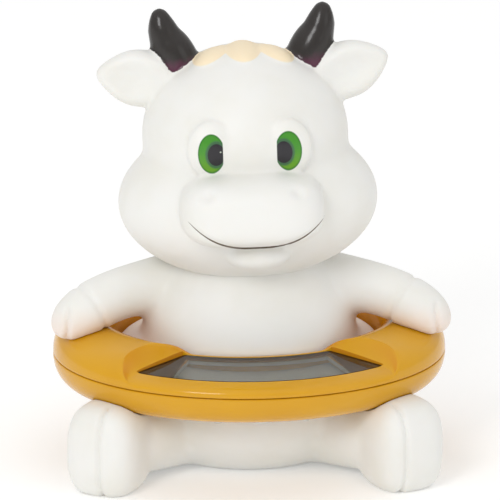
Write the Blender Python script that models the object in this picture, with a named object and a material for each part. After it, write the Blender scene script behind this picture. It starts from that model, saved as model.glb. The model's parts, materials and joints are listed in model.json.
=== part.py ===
"""Bath thermometer: a sitting vinyl calf in a floating ring with a display.

Metres, +Z up. The calf looks along -Y and its left side is at +X.
The origin is in the middle of its flat seat.
"""
import math

import bmesh
import bpy
from mathutils import Euler, Matrix, Vector

for old_object in list(bpy.data.objects):
    bpy.data.objects.remove(old_object, do_unlink=True)

# General clearances and walls
CLEARANCE = 0.0003
VINYL_WALL = 0.0026
RING_WALL = 0.0018
PANEL_WALL = 0.0026

# Fineness of the moulded vinyl surface
VINYL_VOXEL = 0.0013
VINYL_SMOOTHING = 10
HEAD_FACES = 2700
BODY_FACES = 2500
CAVITY_FACES = 400

# Head
HEAD_ROLL = math.radians(1.7)
NECK_PIVOT = Vector((0.0, 0.001, 0.052))
CRANIUM_CENTRE = Vector((0.0, 0.001, 0.0850))
CRANIUM_RADII = Vector((0.0262, 0.0258, 0.0228))
CHEEK_CENTRE = Vector((0.0, -0.0030, 0.0690))
CHEEK_RADII = Vector((0.0330, 0.0250, 0.0200))
MUZZLE_CENTRE = Vector((0.0, -0.0225, 0.0728))
MUZZLE_RADII = Vector((0.0190, 0.0135, 0.0092))
LIP_CENTRE = Vector((0.0, -0.0235, 0.0615))
LIP_RADII = Vector((0.0095, 0.0075, 0.0045))
EYE_SPACING = 0.0098
EYE_RAISE = 0.0002

# Ears: leaf-shaped, hollowed in front
EAR_RADII = Vector((0.0145, 0.0050, 0.0072))
EAR_OFFSET = Vector((0.0250, 0.0010, 0.0135))
EAR_DROOP = math.radians(4.0)
EAR_DISH = 0.0030

# Horns: curved cones that stand on the cranium
HORN_SPREAD = 0.0170
HORN_SETBACK = 0.0030
HORN_HEIGHT = 0.0160
HORN_BASE_RADIUS = 0.0064
HORN_TIP_RADIUS = 0.0018
HORN_BULGE = 0.0050

# Hair: three low petals between the horns
HAIR_RELIEF = 0.0007
HAIR_REACH = 0.0120
HAIR_PETALS = (-0.0072, 0.0, 0.0072)

# Trunk
TORSO_CENTRE = Vector((0.0, 0.0, 0.0310))
TORSO_RADII = Vector((0.0275, 0.0232, 0.0300))
RUMP_CENTRE = Vector((0.0, 0.0040, 0.0150))
RUMP_RADII = Vector((0.0330, 0.0290, 0.0190))
NECK_RADIUS = 0.0110
NECK_HEIGHT = 0.0075

# Legs and hooves
HIP = Vector((0.0150, -0.0020, 0.0125))
ANKLE = Vector((0.0290, -0.0210, 0.0115))
HIP_RADIUS = 0.0135
ANKLE_RADIUS = 0.0115
HOOF_CENTRE = Vector((0.0345, -0.0270, 0.0105))
HOOF_RADII = Vector((0.0120, 0.0100, 0.0120))
HOOF_TURN = math.radians(45.0)
HOOF_POWER = 2.7

# Arms, from the shoulder to the hoof on the ring
ARM_POINTS = ((0.0170, 0.0010, 0.0440), (0.0270, -0.0020, 0.0452), (0.0350, -0.0050, 0.0440),
              (0.0415, -0.0075, 0.0415), (0.0450, -0.0090, 0.0390))
ARM_RADII = (0.0100, 0.0072, 0.0066, 0.0067, 0.0066)

# Ring outline seen from above: an outer and an inner ellipse
RING_YAW = math.radians(2.5)
RING_HALF_WIDTH = 0.0500
RING_HALF_DEPTH = 0.0430
HOLE_HALF_WIDTH = 0.0340
HOLE_HALF_DEPTH = 0.0275
HOLE_SHIFT = 0.0045

# Ring section: heights above and below the parting line
SEAM_HEIGHT = 0.0280
BELLY_DEPTH = 0.0085
SIDE_RISE_INNER = 0.0098
SIDE_RISE_OUTER = 0.0072
PANEL_RISE_INNER = 0.0060
PANEL_RISE_OUTER = 0.0027
SIDE_POWER = 2.6
PANEL_LIP_POWER = 4.0
PANEL_RIM_POWER = 8.0
BELLY_POWER = 2.2
SCOOP_START = math.radians(44.0)
SCOOP_END = math.radians(55.0)
TOP_STEPS = 10
BELLY_STEPS = 7
INSIDE_STEPS = 6

# Seals in the parting line
SEAL_WIDTH = 0.0006
SEAL_HEIGHT = 0.0007
SEAL_STEPS = 44

# Window, its recess and the display under it
WINDOW_MIDDLE = -0.0320
WINDOW_TILT = math.radians(8.7)
WINDOW_THICKNESS = 0.0010
WINDOW_SINK = 0.0001
WINDOW_OUTER_INSET = 0.0046
WINDOW_INNER_INSET = 0.0024
WINDOW_TIP = 0.0310
WINDOW_CORNER = 0.0185
APERTURE_MARGIN = 0.0010
APERTURE_INNER = 0.0175
APERTURE_OUTER = 0.0230
LCD_THICKNESS = 0.0012
LCD_OVERLAP = 0.0007
LCD_DROP = 0.0038
ZEBRA_SIZE = Vector((0.0340, 0.0020, 0.0010))
BOARD_THICKNESS = 0.0008
BOARD_HALF_LENGTH = 0.0285
BOARD_OUTER_INSET = 0.0056
BOARD_INNER_INSET = 0.0044
BLOB_RADIUS = 0.0040
BLOB_HEIGHT = 0.0010
CRYSTAL_RADIUS = 0.0008
CRYSTAL_LENGTH = 0.0050

# Fasteners
SCREW_SHANK = 0.0009
SCREW_HEAD_RADIUS = 0.0019
SCREW_HEAD_HEIGHT = 0.0012
BOSS_RADIUS = 0.0025
SHELL_SCREW_ANGLES = (math.radians(57.0), math.radians(-57.0), math.radians(140.0), math.radians(-140.0))
SHELL_SCREW_BITE = 0.0050
BOARD_SCREW_X = 0.0262
BOARD_SCREW_Y = -0.0250
BOARD_SCREW_BITE = 0.0016
SCREW_SIDES = 12

# Sensor and water contacts in the belly of the ring
SENSOR_CENTRE = Vector((0.0, -0.0325))
SENSOR_RADIUS = 0.0026
SENSOR_FLANGE = 0.0038
SENSOR_WALL = 0.0005
THERMISTOR_RADIUS = 0.0011
THERMISTOR_HEIGHT = 0.0020
STUD_SPACING = 0.0110
STUD_RADIUS = 0.0011
STUD_HEAD = 0.0021

# Battery compartment under the ring's right side
CELL_RADIUS = 0.00395
CELL_HEIGHT = 0.0036
CELL_X = -0.0413
CELL_FIRST_Y = -0.0059
CELL_PITCH = 0.0088
CONTACT_THICKNESS = 0.0003
BATTERY_ROOF = 0.0009
COVER_RADIUS = 0.0050
COVER_REACH = 0.0154
COVER_INSIDE = 0.0020
COVER_SCREW_SETBACK = 0.0018
BATTERY_SEAL_WIDTH = 0.0006
BATTERY_SEAL_HEIGHT = 0.0005


def material(name, color, roughness, metallic=0.0, alpha=1.0):
    """Return a Principled material with one colour and finish."""
    result = bpy.data.materials.new(name)
    result.use_nodes = True
    shader = result.node_tree.nodes["Principled BSDF"]
    shader.inputs["Base Color"].default_value = (*color, 1.0)
    shader.inputs["Roughness"].default_value = roughness
    shader.inputs["Metallic"].default_value = metallic
    shader.inputs["Alpha"].default_value = alpha
    return result


WHITE_VINYL = material("white_vinyl", (0.87, 0.86, 0.82), 0.45)
HORN_PAINT = material("horn_paint", (0.045, 0.036, 0.034), 0.25)
HAIR_PAINT = material("hair_paint", (0.90, 0.75, 0.48), 0.5)
YELLOW_SHELL = material("yellow_shell", (0.74, 0.41, 0.03), 0.2)
SMOKED_WINDOW = material("smoked_window", (0.06, 0.045, 0.02), 0.08, alpha=0.45)
GREY_LCD = material("grey_lcd", (0.17, 0.18, 0.18), 0.3)
BLACK_RUBBER = material("black_rubber", (0.03, 0.03, 0.03), 0.8)
GREEN_BOARD = material("green_board", (0.03, 0.20, 0.08), 0.5)
BLACK_EPOXY = material("black_epoxy", (0.015, 0.015, 0.015), 0.35)
BRIGHT_METAL = material("bright_metal", (0.72, 0.72, 0.70), 0.25, 1.0)


def new_object(name, bm, paint, smooth_angle=None, parent=None):
    """Turn a bmesh into a linked object with one material."""
    bmesh.ops.recalc_face_normals(bm, faces=bm.faces)
    mesh = bpy.data.meshes.new(name)
    bm.to_mesh(mesh)
    bm.free()
    mesh.materials.append(paint)
    if smooth_angle is not None:
        mesh.shade_smooth()
        mesh.set_sharp_from_angle(angle=math.radians(smooth_angle))
    result = bpy.data.objects.new(name, mesh)
    bpy.context.scene.collection.objects.link(result)
    result.parent = parent
    return result


def as_cutter(tool):
    """Mark an object as a cutter, which is not part of the model."""
    tool.hide_render = True
    tool.display_type = "WIRE"
    return tool


def new_cutter(name, bm, parent=None):
    """Make a bmesh into a cutter."""
    return as_cutter(new_object(name, bm, WHITE_VINYL, parent=parent))


def combine(target, tool, operation="DIFFERENCE"):
    """Cut or join one object by another with an exact Boolean."""
    step = target.modifiers.new(tool.name, "BOOLEAN")
    step.operation = operation
    step.solver = "EXACT"
    step.object = tool
    return step


def new_frame(name, location=(0.0, 0.0, 0.0), turn=(0.0, 0.0, 0.0)):
    """Make an empty that carries other objects."""
    frame = bpy.data.objects.new(name, None)
    frame.location = location
    frame.rotation_euler = turn
    bpy.context.scene.collection.objects.link(frame)
    return frame


def evaluated_mesh(thing):
    """Return a copy of an object's mesh with its modifiers applied."""
    graph = bpy.context.evaluated_depsgraph_get()
    return bpy.data.meshes.new_from_object(thing.evaluated_get(graph))


def mirrored(point, side):
    """Return a point on the given side, +1 or -1, of the middle plane."""
    return Vector((point[0] * side, point[1], point[2]))


def add_blob(bm, centre, radii, turn=(0.0, 0.0, 0.0), power=2.0, grow=0.0):
    """Add an ellipsoid, or a boxier one for a power above 2."""
    made = bmesh.ops.create_uvsphere(bm, u_segments=32, v_segments=20, radius=1.0)
    place = Matrix.Translation(centre) @ Euler(turn).to_matrix().to_4x4()
    for vert in made["verts"]:
        total = sum(abs(value) ** power for value in vert.co)
        shape = vert.co * total ** (-1.0 / power)
        vert.co = place @ Vector([shape[i] * (radii[i] + grow) for i in range(3)])


def curve_value(knots, where):
    """Read a smooth Catmull-Rom curve through rows of values."""
    last = len(knots) - 1
    index = min(int(where), last - 1)
    t = where - index
    before, start = knots[max(index - 1, 0)], knots[index]
    end, after = knots[index + 1], knots[min(index + 2, last)]
    result = []
    for p0, p1, p2, p3 in zip(before, start, end, after):
        slope = 0.5 * (p2 - p0)
        bend = p0 - 2.5 * p1 + 2.0 * p2 - 0.5 * p3
        twist = 1.5 * (p1 - p2) + 0.5 * (p3 - p0)
        result.append(p1 + t * (slope + t * (bend + t * twist)))
    return result


def add_limb(bm, points, radii, grow=0.0, steps=5):
    """Add a limb as close-set balls along a smooth curve."""
    knots = [(*point, radius) for point, radius in zip(points, radii)]
    count = (len(knots) - 1) * steps
    for number in range(count + 1):
        x, y, z, radius = curve_value(knots, number / steps)
        made = bmesh.ops.create_icosphere(bm, subdivisions=3, radius=radius + grow)
        bmesh.ops.translate(bm, verts=made["verts"], vec=(x, y, z))


def add_prism(bm, outline, low, high, bridged=False):
    """Add a solid between two heights, given as numbers or functions of x and y.

    A bridged outline is two facing arcs, whose points are joined in pairs.
    """
    def level(height, x, y):
        return height(x, y) if callable(height) else height
    bottom = [bm.verts.new((x, y, level(low, x, y))) for x, y in outline]
    top = [bm.verts.new((x, y, level(high, x, y))) for x, y in outline]
    if bridged:
        for i in range(len(outline) // 2 - 1):
            corners = (i, i + 1, -i - 2, -i - 1)
            bm.faces.new([bottom[j] for j in corners[::-1]])
            bm.faces.new([top[j] for j in corners])
    else:
        bm.faces.new(bottom[::-1])
        bm.faces.new(top)
    for i in range(len(outline)):
        j = (i + 1) % len(outline)
        bm.faces.new((bottom[i], bottom[j], top[j], top[i]))


def circle(x, y, radius, sides=24):
    """Return the points of a circle."""
    turns = [2.0 * math.pi * i / sides for i in range(sides)]
    return [(x + radius * math.cos(a), y + radius * math.sin(a)) for a in turns]


def slot_outline(x, first_y, last_y, radius, steps=8):
    """Return a slot with round ends that runs along y."""
    points = []
    for i in range(steps + 1):
        a = math.pi * i / steps
        points.append((x + radius * math.cos(a), last_y + radius * math.sin(a)))
    for i in range(steps + 1):
        a = math.pi + math.pi * i / steps
        points.append((x + radius * math.cos(a), first_y + radius * math.sin(a)))
    return points


def cylinder_solid(name, x, y, radius, low, high, paint, parent, sides=24):
    """Make an upright round solid."""
    bm = bmesh.new()
    add_prism(bm, circle(x, y, radius, sides), low, high)
    return new_object(name, bm, paint, smooth_angle=40, parent=parent)


def skin(thing, voxel, smoothing, faces):
    """Melt overlapping blobs into one smooth closed skin of about so many faces."""
    melt = thing.modifiers.new("melt", "REMESH")
    melt.mode = "VOXEL"
    melt.voxel_size = voxel
    ease = thing.modifiers.new("ease", "SMOOTH")
    ease.factor = 0.5
    ease.iterations = smoothing
    fine = evaluated_mesh(thing)
    triangles = 2 * len(fine.polygons)
    thing.modifiers.clear()
    thing.data = fine
    thin = thing.modifiers.new("thin", "DECIMATE")
    thin.ratio = min(1.0, faces / triangles)
    thing.data = evaluated_mesh(thing)
    thing.modifiers.clear()
    return thing


# Head
def add_head_core(bm, grow=0.0):
    """Add the cranium, cheeks, muzzle and lower lip."""
    add_blob(bm, CRANIUM_CENTRE, CRANIUM_RADII, grow=grow)
    add_blob(bm, CHEEK_CENTRE, CHEEK_RADII, grow=grow)
    add_blob(bm, MUZZLE_CENTRE, MUZZLE_RADII, power=2.3, grow=grow)
    add_blob(bm, LIP_CENTRE, LIP_RADII, grow=grow)


def cranium_point(x, y):
    """Return the point on top of the cranium above x, y."""
    flat_x = (x - CRANIUM_CENTRE.x) / CRANIUM_RADII.x
    flat_y = (y - CRANIUM_CENTRE.y) / CRANIUM_RADII.y
    rise = math.sqrt(max(0.0, 1.0 - flat_x ** 2 - flat_y ** 2))
    return Vector((x, y, CRANIUM_CENTRE.z + CRANIUM_RADII.z * rise))


def add_ear(bm, side):
    """Add one leaf-shaped ear with a hollow front."""
    centre = CRANIUM_CENTRE + mirrored(EAR_OFFSET, side)
    turn = (0.0, side * EAR_DROOP, 0.0)
    leaf_bm = bmesh.new()
    add_blob(leaf_bm, centre, EAR_RADII, turn, power=2.2)
    leaf = new_object("ear_leaf", leaf_bm, WHITE_VINYL)
    dish_bm = bmesh.new()
    dish_centre = centre + Vector((side * 0.15 * EAR_RADII.x, -EAR_RADII.y - EAR_DISH * 0.35, 0.0012))
    dish_radii = Vector((EAR_RADII.x * 0.72, EAR_DISH * 1.6, EAR_RADII.z * 0.62))
    add_blob(dish_bm, dish_centre, dish_radii, turn)
    dish = new_object("ear_dish", dish_bm, WHITE_VINYL)
    combine(leaf, dish)
    shaped = evaluated_mesh(leaf)
    bm.from_mesh(shaped)
    for spare in (leaf, dish):
        bpy.data.objects.remove(spare, do_unlink=True)


def horn_points(side):
    """Return the horn's centre line and its radii, root to tip."""
    root = cranium_point(HORN_SPREAD, CRANIUM_CENTRE.y + HORN_SETBACK)
    lower = root + Vector((-0.5 * HORN_BULGE, 0.0, -0.4 * HORN_HEIGHT))
    middle = root + Vector((0.55 * HORN_BULGE, 0.0, 0.35 * HORN_HEIGHT))
    upper = root + Vector((0.82 * HORN_BULGE, 0.0, 0.68 * HORN_HEIGHT))
    tip = root + Vector((0.86 * HORN_BULGE, 0.0, HORN_HEIGHT - HORN_TIP_RADIUS))
    points = [mirrored(point, side) for point in (lower, root, middle, upper, tip)]
    taper = HORN_BASE_RADIUS - HORN_TIP_RADIUS
    radii = [HORN_TIP_RADIUS + taper * share for share in (1.0, 0.95, 0.72, 0.42, 0.0)]
    return points, radii


def add_head_trim(bm):
    """Add ears, horns, hair petals and the raised eye fields."""
    for side in (-1.0, 1.0):
        add_ear(bm, side)
        points, radii = horn_points(side)
        add_limb(bm, points, radii, steps=8)
        eye = CRANIUM_CENTRE + Vector((side * EYE_SPACING, -0.92 * CRANIUM_RADII.y, 0.0035))
        add_blob(bm, eye + Vector((0.0, 0.0012, 0.0)), (0.0085, 0.0030 + EYE_RAISE, 0.0098))
    for x in HAIR_PETALS:
        crown = cranium_point(x, CRANIUM_CENTRE.y - 0.1 * HAIR_REACH)
        lean = x / CRANIUM_RADII.x
        centre = crown + Vector((0.0, 0.0, HAIR_RELIEF - 0.0022))
        add_blob(bm, centre, (0.0052, HAIR_REACH - abs(lean) * 0.008, 0.0025), (0.0, lean, lean * 1.2))


def build_head(seat):
    """Build the hollow head with its open neck."""
    core_bm = bmesh.new()
    add_head_core(core_bm)
    core = new_object("head_core", core_bm, WHITE_VINYL)
    core.modifiers.new("melt", "REMESH").voxel_size = VINYL_VOXEL
    core.modifiers["melt"].mode = "VOXEL"
    ease = core.modifiers.new("ease", "SMOOTH")
    ease.iterations = VINYL_SMOOTHING
    bm = bmesh.new()
    bm.from_mesh(evaluated_mesh(core))
    bpy.data.objects.remove(core, do_unlink=True)
    add_head_trim(bm)
    head = new_object("figure_head", bm, WHITE_VINYL)
    skin(head, VINYL_VOXEL, 3, HEAD_FACES)
    cavity_bm = bmesh.new()
    add_head_core(cavity_bm, -VINYL_WALL)
    cavity = as_cutter(new_object("head_cavity", cavity_bm, WHITE_VINYL))
    skin(cavity, 1.5 * VINYL_VOXEL, VINYL_SMOOTHING, CAVITY_FACES)
    neck_bm = bmesh.new()
    neck_top = CHEEK_CENTRE.z
    add_prism(neck_bm, circle(NECK_PIVOT.x, NECK_PIVOT.y, NECK_RADIUS + CLEARANCE, 32),
              CHEEK_CENTRE.z - 1.5 * CHEEK_RADII.z, neck_top)
    neck_hole = new_cutter("head_neck_hole", neck_bm)
    combine(head, cavity)
    combine(head, neck_hole)
    for thing in (head, cavity, neck_hole):
        hang(thing, seat)
    return head


def hang(thing, frame):
    """Carry an object on an empty without moving its mesh before the frame turns."""
    thing.parent = frame
    thing.matrix_parent_inverse = Matrix.Translation(-frame.location)


# Body
def add_body_shape(bm, grow=0.0):
    """Add trunk, legs, hooves and arms."""
    add_blob(bm, TORSO_CENTRE, TORSO_RADII, grow=grow)
    add_blob(bm, RUMP_CENTRE, RUMP_RADII, grow=grow)
    for side in (-1.0, 1.0):
        leg = (mirrored(HIP, side), mirrored(ANKLE, side))
        add_limb(bm, leg, (HIP_RADIUS, ANKLE_RADIUS), grow)
        add_blob(bm, mirrored(HOOF_CENTRE, side), HOOF_RADII, (0.0, 0.0, side * HOOF_TURN), HOOF_POWER, grow)
        arm = [mirrored(point, side) for point in ARM_POINTS]
        add_limb(bm, arm, ARM_RADII, grow)


def head_seat_cutter(name, grow, seat):
    """Make the head's lower half, grown by a gap, as a cutter."""
    bm = bmesh.new()
    add_blob(bm, CHEEK_CENTRE, CHEEK_RADII, grow=grow)
    cutter = new_cutter(name, bm)
    hang(cutter, seat)
    return cutter


def floor_cutter(name, level):
    """Make a block whose top is at the given level."""
    reach = 3.0 * RING_HALF_WIDTH
    bm = bmesh.new()
    square = [(-reach, -reach), (reach, -reach), (reach, reach), (-reach, reach)]
    add_prism(bm, square, level - reach, level)
    return new_cutter(name, bm)


def build_body(seat, ring_frame):
    """Build the hollow body with its waist, flat seat and neck."""
    bm = bmesh.new()
    add_body_shape(bm)
    body = new_object("figure_body", bm, WHITE_VINYL)
    skin(body, VINYL_VOXEL, VINYL_SMOOTHING, BODY_FACES)
    cavity_bm = bmesh.new()
    add_body_shape(cavity_bm, -VINYL_WALL)
    cavity = as_cutter(new_object("body_cavity", cavity_bm, WHITE_VINYL))
    skin(cavity, 1.5 * VINYL_VOXEL, VINYL_SMOOTHING // 2, CAVITY_FACES)
    combine(cavity, ring_envelope("waist_inside", CLEARANCE + VINYL_WALL, ring_frame))
    combine(cavity, head_seat_cutter("seat_inside", CLEARANCE + VINYL_WALL, seat))
    combine(cavity, floor_cutter("floor_inside", VINYL_WALL))
    combine(body, ring_envelope("waist", CLEARANCE, ring_frame))
    combine(body, head_seat_cutter("seat", CLEARANCE, seat))
    combine(body, floor_cutter("floor", 0.0))
    combine(body, cavity)
    stub_low = CHEEK_CENTRE.z - CHEEK_RADII.z - VINYL_WALL
    stub_high = CHEEK_CENTRE.z - CHEEK_RADII.z + NECK_HEIGHT
    stub_bm = bmesh.new()
    add_prism(stub_bm, circle(NECK_PIVOT.x, NECK_PIVOT.y, NECK_RADIUS, 32), stub_low, stub_high)
    stub = new_cutter("neck_stub", stub_bm)
    bore_bm = bmesh.new()
    bore_radius = NECK_RADIUS - VINYL_WALL
    add_prism(bore_bm, circle(NECK_PIVOT.x, NECK_PIVOT.y, bore_radius, 32),
              TORSO_CENTRE.z, stub_high + NECK_HEIGHT)
    bore = new_cutter("neck_bore", bore_bm)
    for thing in (stub, bore):
        hang(thing, seat)
    combine(body, stub, "UNION")
    combine(body, bore)
    return body


# Ring
def panel_share(angle):
    """Return 1 in the display panel, 0 along the raised sides."""
    t = (abs(angle) - SCOOP_START) / (SCOOP_END - SCOOP_START)
    t = min(1.0, max(0.0, t))
    return math.cos(0.5 * math.pi * t)


def blend(side_value, panel_value, angle):
    """Mix a value of the raised sides with one of the display panel."""
    share = panel_share(angle)
    return side_value + (panel_value - side_value) * share


def ring_edges(angle, grow):
    """Return the outer and inner edge points at a place round the ring."""
    outer = Vector((math.sin(angle) * (RING_HALF_WIDTH + grow), -math.cos(angle) * (RING_HALF_DEPTH + grow)))
    inner = Vector((math.sin(angle) * (HOLE_HALF_WIDTH - grow),
                    HOLE_SHIFT - math.cos(angle) * (HOLE_HALF_DEPTH - grow)))
    return outer, inner


def section_point(angle, turn, grow, roof):
    """Return a point of the ring's section; turn 0 is outside, pi/2 on top, pi inside."""
    outer, inner = ring_edges(angle, grow)
    upper = math.sin(turn) >= 0.0
    panel_power = PANEL_LIP_POWER if math.cos(turn) > 0.0 else PANEL_RIM_POWER
    power = blend(SIDE_POWER, panel_power, angle) if upper else BELLY_POWER
    across = math.copysign(abs(math.cos(turn)) ** (2.0 / power), math.cos(turn))
    share = 0.5 + 0.5 * across
    height = abs(math.sin(turn)) ** (2.0 / power)
    if upper:
        inside_rise = blend(SIDE_RISE_INNER, PANEL_RISE_INNER, angle)
        outside_rise = blend(SIDE_RISE_OUTER, PANEL_RISE_OUTER, angle)
        height *= inside_rise + (outside_rise - inside_rise) * share + roof
    else:
        height *= -(BELLY_DEPTH + grow)
    place = inner.lerp(outer, share)
    return Vector((place.x, place.y, SEAM_HEIGHT + height))


def ring_stations():
    """Return the angles round the ring, closer together at the scoops."""
    margin = math.radians(4.0)
    coarse, fine = math.radians(8.6), math.radians(3.3)
    marks = [0.0, SCOOP_START - margin, SCOOP_END + margin, math.pi]
    half = []
    for start, end, step in zip(marks, marks[1:], (coarse, fine, coarse)):
        count = max(2, round((end - start) / step))
        half += [start + (end - start) * i / count for i in range(count)]
    return half + [math.pi] + [-angle for angle in half[:0:-1]]


def loft(bm, rings):
    """Join closed loops of points into a closed tube round the ring."""
    rows = [[bm.verts.new(point) for point in ring] for ring in rings]
    for i, row in enumerate(rows):
        after = rows[(i + 1) % len(rows)]
        for j in range(len(row)):
            k = (j + 1) % len(row)
            bm.faces.new((row[j], row[k], after[k], after[j]))


def ring_envelope(name, grow, frame):
    """Make the whole ring's outer form, grown by a gap, as a cutter."""
    rings = []
    for angle in ring_stations():
        top = [math.pi * i / TOP_STEPS for i in range(TOP_STEPS)]
        belly = [math.pi + math.pi * i / BELLY_STEPS for i in range(BELLY_STEPS)]
        rings.append([section_point(angle, turn, grow, grow) for turn in top + belly])
    bm = bmesh.new()
    loft(bm, rings)
    return new_cutter(name, bm, parent=frame)


def arc_points(angle, start, end, steps, grow, roof, offset):
    """Return a stretch of the section, moved up or down by an offset at the parting line."""
    points = []
    for i in range(steps + 1):
        turn = start + (end - start) * i / steps
        point = section_point(angle, turn, grow, roof)
        if i in (0, steps):
            point.z = SEAM_HEIGHT + offset
        points.append(point)
    return points


def build_shells(frame):
    """Build the ring's two hollow shells, open to each other at the parting line."""
    gap = 0.5 * CLEARANCE
    top_rings = []
    belly_rings = []
    for angle in ring_stations():
        roof = -blend(RING_WALL, PANEL_WALL, angle)
        outside = arc_points(angle, 0.0, math.pi, TOP_STEPS, 0.0, 0.0, gap)
        inside = arc_points(angle, math.pi, 0.0, INSIDE_STEPS, -RING_WALL, roof, gap)
        top_rings.append(outside + inside)
        outside = arc_points(angle, 2.0 * math.pi, math.pi, BELLY_STEPS, 0.0, 0.0, -gap)
        inside = arc_points(angle, math.pi, 2.0 * math.pi, INSIDE_STEPS, -RING_WALL, 0.0, -gap)
        belly_rings.append(outside + inside)
    shells = []
    for name, rings in (("ring_top_shell", top_rings), ("ring_bottom_shell", belly_rings)):
        bm = bmesh.new()
        loft(bm, rings)
        shells.append(new_object(name, bm, YELLOW_SHELL, smooth_angle=35, parent=frame))
    return shells


def build_seals(frame, bottom_shell):
    """Lay a gasket in a groove of the bottom shell's outer and inner walls."""
    middle = 0.5 * RING_WALL
    groove_half = 0.5 * SEAL_WIDTH + CLEARANCE
    seal_top = SEAM_HEIGHT + 0.5 * CLEARANCE - CLEARANCE
    seal_bottom = seal_top - SEAL_HEIGHT
    for place in ("outer", "inner"):
        shapes = (("ring_seal_", 0.5 * SEAL_WIDTH, seal_bottom, seal_top),
                  ("groove_", groove_half, seal_bottom - CLEARANCE, SEAM_HEIGHT + SEAL_HEIGHT))
        for prefix, half, low, high in shapes:
            rings = []
            for i in range(SEAL_STEPS):
                angle = 2.0 * math.pi * i / SEAL_STEPS
                edges = [ring_edges(angle, -middle + shift) for shift in (half, -half)]
                wide, narrow = [edge[0 if place == "outer" else 1] for edge in edges]
                rings.append([(wide.x, wide.y, low), (wide.x, wide.y, high),
                              (narrow.x, narrow.y, high), (narrow.x, narrow.y, low)])
            bm = bmesh.new()
            loft(bm, rings)
            if prefix == "groove_":
                combine(bottom_shell, new_cutter(prefix + place, bm, parent=frame))
            else:
                new_object(prefix + place, bm, BLACK_RUBBER, smooth_angle=35, parent=frame)


# Window and display
def panel_outline(outer_inset, inner_inset, inner_half, outer_half, grow=0.0, steps=14):
    """Return the outline between an outer and an inner arc of the ring."""
    wide, deep = RING_HALF_WIDTH - outer_inset + grow, RING_HALF_DEPTH - outer_inset + grow
    hole_wide, hole_deep = HOLE_HALF_WIDTH + inner_inset - grow, HOLE_HALF_DEPTH + inner_inset - grow
    points = []
    for i in range(steps + 1):
        x = (outer_half + grow) * (2.0 * i / steps - 1.0)
        points.append((x, -deep * math.sqrt(1.0 - (x / wide) ** 2)))
    for i in range(steps + 1):
        x = (inner_half + grow) * (1.0 - 2.0 * i / steps)
        points.append((x, HOLE_SHIFT - hole_deep * math.sqrt(1.0 - (x / hole_wide) ** 2)))
    return points


def share_across(x, y):
    """Return how far a point lies from the hole's edge, 0, to the ring's outer edge, 1."""
    low, high = 0.0, 1.0
    for _ in range(30):
        share = 0.5 * (low + high)
        wide = HOLE_HALF_WIDTH + (RING_HALF_WIDTH - HOLE_HALF_WIDTH) * share
        deep = HOLE_HALF_DEPTH + (RING_HALF_DEPTH - HOLE_HALF_DEPTH) * share
        if (x / wide) ** 2 + ((y - HOLE_SHIFT * (1.0 - share)) / deep) ** 2 > 1.0:
            low = share
        else:
            high = share
    return share


def panel_height(x, y):
    """Return the height of the display panel's surface, which slopes out like a cone."""
    return SEAM_HEIGHT + PANEL_RISE_INNER + (PANEL_RISE_OUTER - PANEL_RISE_INNER) * share_across(x, y)


def panel_level(offset):
    """Return the display panel's surface, moved by an offset."""
    return lambda x, y: panel_height(x, y) + offset


def window_level(offset):
    """Return the flat tilted plane of the display, moved by an offset."""
    middle = panel_height(0.0, WINDOW_MIDDLE) + offset
    return lambda x, y: middle + math.tan(WINDOW_TILT) * (y - WINDOW_MIDDLE)


def build_display(frame, top_shell):
    """Cut the recess and build window, panel, connector, board and chips."""
    window = (WINDOW_OUTER_INSET, WINDOW_INNER_INSET, WINDOW_CORNER, WINDOW_TIP)
    bm = bmesh.new()
    window_top = -WINDOW_SINK
    window_low = window_top - WINDOW_THICKNESS
    add_prism(bm, panel_outline(*window), panel_level(window_low), panel_level(window_top), bridged=True)
    new_object("display_window", bm, SMOKED_WINDOW, smooth_angle=35, parent=frame)
    bm = bmesh.new()
    recess = window_low - CLEARANCE
    add_prism(bm, panel_outline(*window, grow=CLEARANCE), panel_level(recess), panel_level(SIDE_RISE_INNER),
              bridged=True)
    combine(top_shell, new_cutter("window_recess", bm, parent=frame))
    opening = (WINDOW_OUTER_INSET + APERTURE_MARGIN, WINDOW_INNER_INSET + APERTURE_MARGIN,
               APERTURE_INNER, APERTURE_OUTER)
    bm = bmesh.new()
    add_prism(bm, panel_outline(*opening), window_level(-BELLY_DEPTH), window_level(SIDE_RISE_INNER))
    combine(top_shell, new_cutter("display_aperture", bm, parent=frame))
    bm = bmesh.new()
    lcd_top = -LCD_DROP - CLEARANCE
    lcd_bottom = lcd_top - LCD_THICKNESS
    add_prism(bm, panel_outline(*opening, grow=LCD_OVERLAP), window_level(lcd_bottom), window_level(lcd_top))
    new_object("lcd_panel", bm, GREY_LCD, smooth_angle=35, parent=frame)
    strip_top = lcd_bottom - CLEARANCE
    strip_bottom = strip_top - ZEBRA_SIZE.z
    half_x, half_y = 0.5 * ZEBRA_SIZE.x, 0.5 * ZEBRA_SIZE.y
    box = [(-half_x, WINDOW_MIDDLE - half_y), (half_x, WINDOW_MIDDLE - half_y),
           (half_x, WINDOW_MIDDLE + half_y), (-half_x, WINDOW_MIDDLE + half_y)]
    bm = bmesh.new()
    add_prism(bm, box, window_level(strip_bottom), window_level(strip_top))
    new_object("zebra_strip", bm, BLACK_RUBBER, parent=frame)
    build_board(frame, top_shell, strip_bottom - CLEARANCE)


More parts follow.
